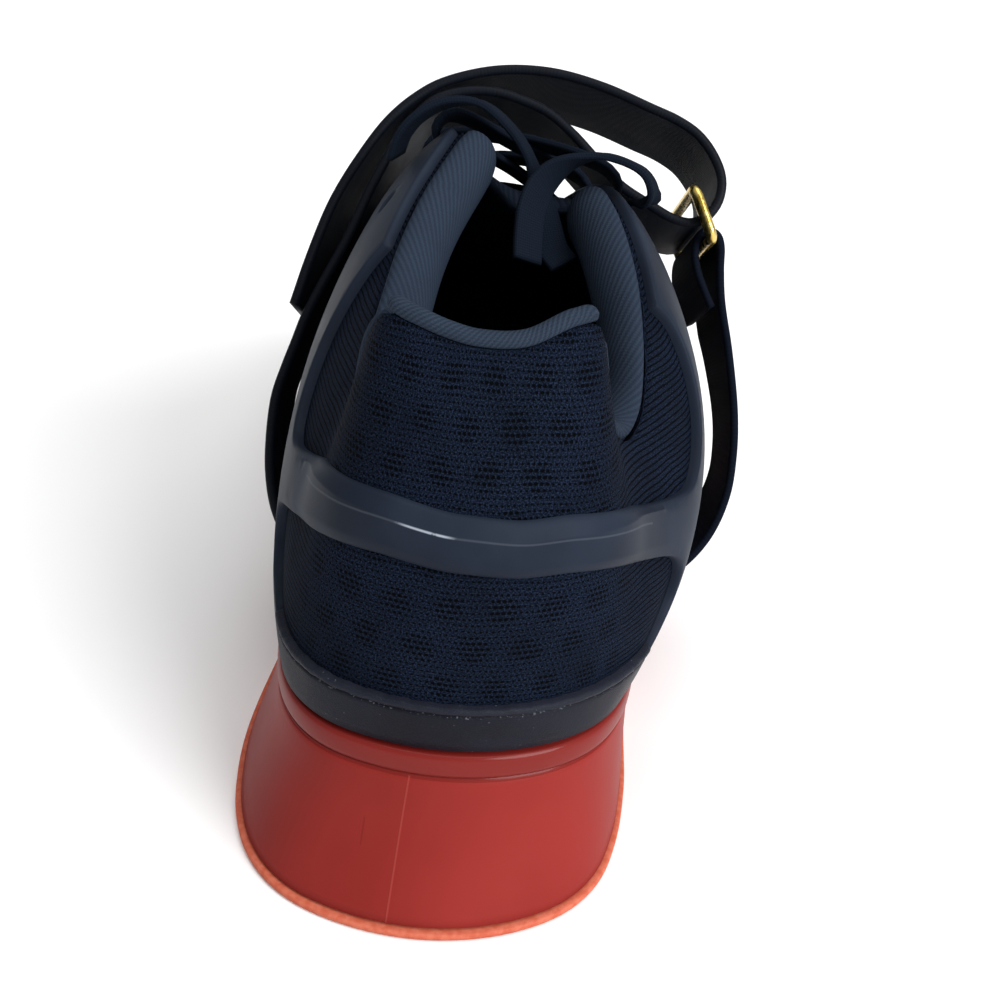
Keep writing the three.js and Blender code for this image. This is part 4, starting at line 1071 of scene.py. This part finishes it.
# the heel band's cross-section: share of the way up, mm off the plain thickness
bandSection = dict(
    up=(0, 0.2, 0.24, 0.28, 0.62, 0.66, 0.7, 1), off=(-1.05, -0.08, 0.03, 0.06, 0.26, 0.26, 0.1, -1.25),
)
frameTables = {
    1: dict(
        above=[(-60, 83.9), (-36, 83.4), (-31.5, 82.6), (-20, 78.8), (-9.6, 74.7), (-2, 72.9), (3.5, 72.8),
               (8, 75), (12.5, 79), (16, 83.6), (18.5, 88.6), (20.5, 93.5), (21.5, 98), (20, 103.5),
               (20, 118)],
        ahead=[(88, 140), (88, 109.8), (76, 106), (62, 99), (48, 88), (34, 72), (27, 58), (29, 44), (34, 20)],
        below=[(-17, 20), (-15, 35), (-12, 41), (-9, 46.6), (-5.2, 50), (-3.2, 53), (-3.3, 57.5), (-5.2, 61),
               (-8.3, 63.3), (-18.5, 67.3), (-31, 71.8), (-36.4, 72.9), (-38.5, 73.4), (-60, 73.6)]),
    -1: dict(
        above=[(-60, 83.9), (-37, 84), (-32.6, 84.3), (-25.9, 83.5), (-16, 80.8), (-7, 77.2), (-1, 75.3),
               (4.5, 74.3), (9, 75.6), (13, 79.6), (16.5, 85.4), (20, 92.5), (22.5, 99), (24, 104),
               (24.5, 110), (24.5, 125)],
        ahead=[(88, 150), (88, 113.6), (76, 110), (62, 104), (48, 94), (34, 78), (27, 62), (29, 46),
               (34, 20)],
        below=[(-17, 20), (-15, 35), (-12, 41), (-9, 46.4), (0, 48.6), (4, 53), (4.4, 58), (2.5, 61.5),
               (-1, 63.4), (-10.3, 66.4), (-30.2, 72.7), (-36.3, 73.7), (-38.5, 73.9), (-60, 73.6)]),
}


def sideCurve(points, side, count):
    fine = spline(points, count)
    return frameOnLast(fine[:, 0], fine[:, 1], side)


def meetAtBack(run, side, middle):
    # the stretch next to the back becomes one soft curve that starts level at the middle
    turns = np.abs(run[:, 0])
    reach = frameSizes["backReach"]
    order = np.argsort(turns)
    blend = frameSizes["backBlend"]
    near, far = np.interp([reach, reach + blend], turns[order], run[order, 1])
    fine = np.linspace(0, reach, 18)
    t = hermite(fine, np.array([0, reach]), np.array([middle, near]), np.array([0, (far - near) / blend]))
    return np.concatenate([np.stack([side * fine, t], 1), run[turns > reach + 0.4]])


def frameLoop():
    # the frame's outline, and the heel band's lower and upper edge on it
    halves = []
    edges = {"low": [], "high": []}
    for side in (1, -1):
        rows = frameTables[side]
        above, ahead, below = [sideCurve(rows[part], side, 120) for part in ("above", "ahead", "below")]
        foot, top = footT + 0.0001, topT - 0.0001
        above = meetAtBack(above[above[:, 1] < top], side, frameSizes["backAbove"])
        ahead = ahead[(ahead[:, 1] < top) & (ahead[:, 1] > foot)]
        below = meetAtBack(below[below[:, 1] > foot][::-1], side, frameSizes["backBelow"])[::-1]
        for name, run in (("high", above), ("low", below[::-1])):
            furthest = np.argmax(np.where(np.abs(run[:, 0]) < 46, np.abs(run[:, 0]), 0))
            edges[name].append(run[:furthest + 1])
        steps = np.linspace(0, 1, 40)[:, None]
        topRun = above[-1] + (ahead[0] - above[-1]) * steps
        topRun[:, 1] = topT
        footRun = ahead[-1] + (below[0] - ahead[-1]) * steps
        footRun[:, 1] = footT
        halves.append(np.concatenate([above, topRun, ahead, footRun, below]))
    for name, (right, left) in edges.items():
        both = np.concatenate([left[::-1], right])
        edges[name] = both[np.argsort(both[:, 0])]
    return np.concatenate([halves[0], halves[1][::-1]]), edges["low"], edges["high"]


def bandUp(share, turn):
    # the upper crease climbs to the top edge towards the band's ends
    climb = smoothStep(np.abs(turn) / frameSizes["creaseEnd"]) * 0.85
    return share + (0.9 - share) * climb * (share > 0.5) * (share < 0.95)


def buildFrame():
    holes = [(side * turn, t, eyeletRadius) for side in (1, -1) for turn, t in [topHole] + eyelets[:2]]
    loop, low, high = frameLoop()
    fadeFrom, fadeTo, creaseEnd = (frameSizes[name] for name in ("fadeFrom", "fadeTo", "creaseEnd"))

    def band(turn):
        foot = np.interp(turn, low[:, 0], low[:, 1])
        return foot, np.interp(turn, high[:, 0], high[:, 1]) - foot

    def shareUp(turn, t):
        foot, tall = band(turn)
        return (t - foot) / np.maximum(tall, 0.05)

    def relief(turn, t):
        marks = bandUp(np.array(bandSection["up"], float)[None], turn[:, None])
        shape = np.array([np.interp(u, row, bandSection["off"]) for u, row in zip(shareUp(turn, t), marks)])
        return shape * smoothStep((fadeTo - np.abs(turn)) / (fadeTo - fadeFrom))

    turns = np.linspace(-creaseEnd + 4, creaseEnd - 4, 70)
    foot, tall = band(turns)
    creases = [np.stack([turns, foot + bandUp(share, turns) * tall], 1) for share in bandSection["up"][1:-1]]
    piece = plate("heelFrame", loop, gap + frameSizes["thickness"], frameRim, holes, relief, creases,
                  lambda turn, t: np.stack([turn, shareUp(turn, t)], 1))
    piece.build([frameFilm], "frame_plastic", "heel_frame")


buildFrame()

# Heel rand and toe guard
rand = dict(height=10.5, thickness=1.2, reach=31.6, slant=3.2, steps=121, slantSteps=12)
guard = dict(start=96, height=13, endHeight=4, endSteps=25)
stripShape = [  # share up, share of the thickness: a flat strip, a stitched groove and a folded edge
    (0, 0.05), (0.002, 0.8), (0.02, 1), (0.2, 1), (0.4, 1), (0.6, 1), (0.76, 1), (0.815, 0.96), (0.84, 0.62),
    (0.858, 0.62), (0.875, 1.04), (0.92, 1.14), (0.97, 1.05), (0.992, 0.7), (1, 0),
]
stripWaves = ((0.1, 1.3), (0.07, 3.1))  # mm of rise, and how fast along the strip


def tAtHeight(turn, height):
    levels = np.linspace(0, 1, 200)
    z = lastPoint(turn, levels)[:, 2]
    return float(np.interp(height, z - z[0], levels))


def leatherStrip(name, turns, heights, node, slant):
    # a strip on the last with a raised folded edge along its top; slant moves the ends' top corners
    skinRows, uvRows = [], []
    at, lift = (np.array(column) for column in zip(*stripShape))
    low = plateMesh["low"]
    full = gap + rand["thickness"] - low
    along = 0
    last = len(turns) - 1
    for i, (turn, height) in enumerate(zip(turns, heights)):
        top = tAtHeight(turn, height + sum(rise * math.sin(along * pace) for rise, pace in stripWaves))
        near = min(i, last - i)
        lean = slant * max(0, 1 - near / rand["slantSteps"]) * (1 if i > last / 2 else -1)
        offs = low + full * lift * (0.1 if near == 0 else 1)
        row = offLast(turn + lean * at, footT + (top - footT) * at, offs)
        if skinRows:
            along += np.linalg.norm(row[0] - skinRows[-1][0])
        skinRows.append(row)
        uvRows.append([(along, a * height) for a in at])
    piece = Piece(name)
    piece.grid(skinRows, uv=np.array(uvRows))
    piece.build([leather], "synthetic_leather", node)


randTurns = rand["reach"] * np.sin(np.linspace(-1, 1, rand["steps"]) * math.pi / 2)
leatherStrip("heelRand", randTurns, np.full(rand["steps"], rand["height"]), "heel_rand", rand["slant"])
guardTurns = np.linspace(guard["start"], 360 - guard["start"], rand["steps"])
guardEnds = smoothStep(np.minimum(1, stepsFromEnds(rand["steps"]) / guard["endSteps"]))
guardHeights = guard["endHeight"] + (guard["height"] - guard["endHeight"]) * guardEnds
leatherStrip("toeGuard", wrapTurn(guardTurns), guardHeights, "toe_guard", 0)
print("frame, rand and toe guard fitted")

# Collar rolls and heel binding
roll = dict(
    low=20, high=73.8, steps=90, points=44, fill=0.7, behind=0.5, endRise=0.8, endDepth=0.3,
    fullAt=(20, 20.6, 22, 24, 70, 72.4, 73.4, 73.8), full=(0.25, 0.62, 0.88, 1, 1, 0.88, 0.62, 0.25),
)
rollShape = [  # down and in from the edge, or over and out of it, all mm
    ("down", 15, 0), ("down", 8, 0), ("down", 0.6, 0), ("over", 0.8, -1.3), ("over", 0.9, -0.2),
    ("over", 2.4, 0.6), ("over", 4.4, -0.4), ("over", 5.8, -3.4), ("over", 5.4, -7), ("over", 2.6, -10.6),
    ("down", 3, 9.2), ("down", 9, 6.8), ("down", 14, 2.4),
]


def closedCurve(spots, count):
    # evenly spread points on a smooth closed curve, which starts at the first spot
    fine = spline(np.concatenate([spots[-2:], spots, spots[:3]]), count * 3)
    away = np.linalg.norm(fine - spots[0], axis=1)
    start, stop = int(np.argmin(away[:40])), int(len(fine) - 40 + np.argmin(away[-40:]))
    pick = np.linspace(start, stop, count + 1)[:-1]
    return np.stack([np.interp(pick, np.arange(len(fine)), fine[:, k]) for k in range(3)], 1)


def collarRoll(name, side, node):
    inside = -wall - gap - roll["behind"]
    spread = (1 - np.cos(np.linspace(0, math.pi, roll["steps"]))) / 2
    rows = []
    for at in roll["low"] + (roll["high"] - roll["low"]) * spread:
        turn = side * at
        full = float(np.interp(at, roll["fullAt"], roll["full"]))
        edge = lastPoint(turn, 1.0)
        ribLength = np.linalg.norm(edge - lastPoint(turn, 0.8)) / 0.2
        normal = lastNormal(turn, 0.98)
        up = unit(edge - lastPoint(turn, 0.95))
        spots = []
        for kind, a, b in rollShape:
            if kind == "over":
                out, rise = inside + (b - inside) * full, roll["endRise"] * (1 - full) + a * full
                spots.append(edge + normal * out + up * rise)
            else:
                deep = a * (roll["endDepth"] + (1 - roll["endDepth"]) * full)
                spots.append(offLast(turn, 1 - deep / ribLength, inside - b * full))
        rows.append(closedCurve(np.array(spots), roll["points"]))
    piece = Piece(name)
    piece.grid(np.array(rows), wrap=True)
    count = roll["points"]
    fan = [[k, (k + 1) % count, count] for k in range(count)]
    for ring in (rows[0], rows[-1]):
        piece.patch(np.concatenate([ring, ring.mean(0)[None]]), fan, [[(0, 0), (1, 0), (0.5, 1)]] * count)
    made = piece.build([collarKnit], "collar_knit", node)


collarRoll("collarRollOuter", 1, "collar_roll_outer")
collarRoll("collarRollInner", -1, "collar_roll_inner")

binding = dict(radius=1.5, reach=18.5, steps=90, endSteps=5, smallest=0.05, side=(0, 1, 0.2))


def heelBinding():
    turns = np.linspace(-binding["reach"], binding["reach"], binding["steps"])
    edge = offLast(turns, 1.0, -wall / 2)
    up = unit(edge - offLast(turns, 0.95, -wall / 2))
    near = np.clip(stepsFromEnds(binding["steps"]) / binding["endSteps"], 0, 1)
    size = np.sqrt(np.clip(1 - (1 - near) ** 2, binding["smallest"], 1))
    section = (circle(18) * binding["radius"])[None] * size[:, None, None]
    piece = Piece("heelBinding")
    sweep(piece, edge + up * binding["radius"], section, binding["side"])
    piece.build([bindingKnit], "binding_knit", "heel_binding")


heelBinding()
print("collar padded")

# Insole and tongue
insole = dict(clear=0.3, closing=(0.3, 0.6, 1))
insoleShape = [  # mm out from the wall, mm up
    (-3, 0), (-0.8, 0), (0, 0.9), (0, 3), (-0.5, 3.7), (-1.5, 4), (-4, 4.05), (-12, 4),
]
tongue = dict(
    start=78, past=5, steps=50, points=26, under=0.4, tuckFrom=112, tuckRun=12, tuck=0.06, side=0.14,
    crownDrop=6, crownRise=4.5, riseSteps=6, thickness=5, endSteps=5, smallest=0.08, fill=0.5,
)


def buildInsole():
    inset = shoe["ledge"] + wall + gap + insole["clear"]
    rows = [soleRing(-inset + out, lambda y: seatZ(y) + gap + up) for out, up in insoleShape]
    rows += [closeAcross(rows[-1], share) for share in insole["closing"]]
    soleBody("insoleBoard", rows, None, insoleCloth, "insole_fabric", "insole")


def buildTongue():
    under = -(wall + gap + tongue["under"])
    rows = []
    turns = np.linspace(tongue["start"], shoe["throatEnd"] + tongue["past"], tongue["steps"])
    for i, turn in enumerate(turns):
        lip = 1 - tongue["tuck"] * float(smoothStep((turn - tongue["tuckFrom"]) / tongue["tuckRun"]))
        outerTop, innerTop = offLast(turn, lip, under), offLast(-turn, lip, under)
        outerLow, innerLow = (offLast(at, lip - tongue["side"], under) for at in (turn, -turn))
        crown = (offLast(turn, 1.0, under) + offLast(-turn, 1.0, under)) / 2
        crown[2] -= tongue["crownDrop"] - tongue["crownRise"] * smoothStep(i / tongue["riseSteps"])
        top = spline([outerLow, outerTop, crown, innerTop, innerLow], tongue["points"])
        full = math.sqrt(max(tongue["smallest"], 1 - (1 - min(1, i / tongue["endSteps"])) ** 2))
        middle = top - [0, 0, tongue["thickness"] / 2]
        rows.append(np.concatenate([middle + (top - middle) * full, (middle - (top - middle) * full)[::-1]]))
    piece = Piece("tonguePad")
    piece.grid(np.array(rows), wrap=True)
    piece.close(rows)
    made = piece.build([tongueMesh], "tongue_mesh", "tongue")


tongueMesh = makeKnit("darkTongueMesh", "10151f", "232c3b", pitch=1.3, slant=0.0)
buildInsole()
buildTongue()
print("insole and tongue placed")

# Strap, anchor and ring, in a plane that leans forward with the instep
strap = dict(tilt=28, origin=(0, 74, 105), footFrom=-20, footRise=0.1875, width=32, thickness=2.2, steps=260,
             spread=0)
anchor = dict(width=strap["width"] - 3, thickness=1.8, steps=150, spread=0.037)
lean = math.radians(strap["tilt"])
strapUp = np.array([0, math.sin(lean), math.cos(lean)])
strapAcross = np.array([0, math.cos(lean), -math.sin(lean)])
strapPath = [
    (-35.6, -88), (-35.9, -84), (-38.6, -79.5), (-42.1, -72.8), (-44, -65), (-44.6, -57), (-44.2, -47),
    (-42.5, -40), (-40.8, -34.2), (-39.2, -28.6), (-36.4, -21.5), (-31.4, -10), (-26.6, 3.3), (-21.3, 14.8),
    (-14.8, 23.4), (-7.8, 26.3), (-0.5, 26.8), (5.6, 25.5), (11.7, 23.3), (18, 18.7), (23.3, 13.8),
    (29.5, 8.3), (36.2, 4.6), (42.5, 1.6), (46.6, 1.1), (49.6, 2.5), (52, 5.6), (52.9, 9.4), (52.4, 13.2),
    (49.8, 18), (46.3, 21.7), (41.5, 24.4), (35.5, 26.5), (23.4, 30.5), (11.2, 32.6), (-1, 31.8),
    (-12.7, 27.9), (-18.5, 24), (-24.1, 18.3), (-29.7, 9.5), (-35.1, -1.5), (-39.1, -14.2), (-42, -26),
]
anchorPath = [
    (53, -17.6), (50.9, -13.4), (49.1, -9.4), (48.3, -5.6), (48.6, -2), (49.9, -0.3), (51.6, 0), (53.2, -0.9),
    (54.1, -3.2), (54.4, -8.5), (55.2, -15.6), (57.9, -27.7), (60.3, -42), (60.8, -51.7), (60, -61.2),
    (56.8, -70.5), (51.8, -77.5), (45.4, -82.6), (40.9, -86),
]
bandMesh = dict(points=9, edge=2.2, finishEdge=2.1, sink=0.2)  # mm but the first
bandEdge = [(-1.2, 1), (-0.7, 1), (-0.25, 0.75), (0, 0.25)]  # mm from the side, share of half the thickness


def onStrap(spots, across, spread):
    spots = np.asarray(spots, float)
    down = np.maximum(0, strap["footFrom"] - spots[:, 1]) * across / strap["width"]
    return (np.array(strap["origin"]) + np.stack([spots[:, 0] + down * spread, 0 * down, 0 * down], 1)
            + strapUp * (spots[:, 1] + down * strap["footRise"])[:, None] + strapAcross * across)


def bandPiece(name, path, band, face, edgeFinish, slot, node):
    spots = spline(path, band["steps"])
    half, h = band["width"] / 2, band["thickness"] / 2
    rear, front = (onStrap(spots, strap["width"] / 2 + side * half, band["spread"]) for side in (-1, 1))
    onLedge = rear[:, 2] >= seatZ(rear[:, 1]) - bandMesh["sink"]  # the foot stops on the ledge
    rear, front = rear[onLedge], front[onLedge]
    centre = (rear + front) / 2
    wide = unit(front - rear)
    off = unit(np.cross(np.gradient(centre, axis=0), wide))
    rounding = [(half + a, h * share) for a, share in bandEdge]
    inner = half - bandMesh["edge"]
    right = [(a, h) for a in np.linspace(-inner, inner, bandMesh["points"])] + rounding
    left = [(-a, b) for a, b in rounding][::-1]
    lower = [(a, -b) for a, b in right][::-1] + [(-a, -b) for a, b in rounding]
    section = np.array(left + right + lower)
    rows = centre[:, None] + wide[:, None] * section[None, :, :1] + off[:, None] * section[None, :, 1:]
    u = np.concatenate([section[:, 0], section[:1, 0]])
    piece = Piece(name)
    piece.grid(rows, wrap=True, uv=np.stack(np.broadcast_arrays(u[None, :], runAlong(centre)[:, None]), -1))
    limit = band["width"] - bandMesh["finishEdge"]  # faces past it take the edge's finish
    piece.slots = [int(abs(piece.uvs[4 * k][0]) + abs(piece.uvs[4 * k + 1][0]) > limit)
                   for k in range(len(piece.faces))]
    piece.close(rows, 1)
    piece.build([face, edgeFinish], slot, node)


bandPiece("instepStrap", strapPath, strap, strapCloth, strapEdge, "strap_fabric", "strap")
bandPiece("strapAnchor", anchorPath, anchor, anchorWeb, anchorWeb, "anchor_web", "strap_anchor")

ring = dict(bar=2.6, sideBar=3.8, corner=2.4, top=(46.3, 8.2), bottom=(51.2, -2.6))


def strapRing():
    top, bottom = np.array(ring["top"]), np.array(ring["bottom"])
    long = strap["width"] / 2 + ring["sideBar"] / 2 + gap
    down = bottom - top
    short = np.linalg.norm(down) / 2
    down = down / np.linalg.norm(down)
    centre = onStrap([(top + bottom) / 2], strap["width"] / 2, 0)[0]
    downwards = np.array([down[0], 0, 0]) + strapUp * down[1]
    corners = roundedLoop(long, short, ring["corner"], 8)
    path = centre + strapAcross * corners[:, :1] + downwards * corners[:, 1:]
    flat = np.cross(strapAcross, downwards)
    along = unit(np.roll(path, -1, 0) - np.roll(path, 1, 0))
    side = unit(np.cross(along, flat))
    half = (ring["bar"] + (ring["sideBar"] - ring["bar"]) * np.abs(along @ downwards)) / 2
    across, through = circle(22.5).T
    rows = path[:, None] + (side * half[:, None])[:, None] * across[None, :, None] \
        + ring["bar"] / 2 * flat * through[None, :, None]
    rows = np.concatenate([rows, rows[:1]])
    piece = Piece("strapRing")
    piece.grid(rows, wrap=True)
    piece.build([brass], "ring_brass", "ring")


strapRing()
print("strap, anchor and ring on")


# Floor and light
light = dict(
    world=0.42, key=dict(sun=3.4, spread=40, at=(0.9, -0.85, 0.65)),
    top=dict(sun=1.6, spread=60, at=(0.15, -0.1, 1.3)),
)


def studio():
    half = 3.0
    mesh = bpy.data.meshes.new("floor")
    corners = [(-half, -half, 0), (half, -half, 0), (half, half, 0), (-half, half, 0)]
    mesh.from_pydata(corners, [], [(0, 1, 2, 3)])
    f = Finish("paleFloor", Roughness=0.9)
    shade = f.noise(f.spot(), 3.0)
    mesh.materials.append(f.wear(Base_Color=f.mix(shade, tones["floor"]["dark"], tones["floor"]["light"])))
    place("floor", mesh)
    world = bpy.data.worlds.new("studio")
    bpy.context.scene.world = world
    world.use_nodes = True
    background = world.node_tree.nodes["Background"]
    background.inputs["Color"].default_value = (1, 1, 1, 1)
    background.inputs["Strength"].default_value = light["world"]
    for name in ("key", "top"):
        lamp = bpy.data.lights.new(name + "Light", "SUN")
        lamp.energy = light[name]["sun"]
        lamp.angle = math.radians(light[name]["spread"])
        holder = place(name + "Light", lamp)
        holder.location = light[name]["at"]
        holder.rotation_euler = Vector(light[name]["at"]).to_track_quat("Z", "Y").to_euler()
    bpy.context.scene.view_settings.view_transform = "Standard"


studio()
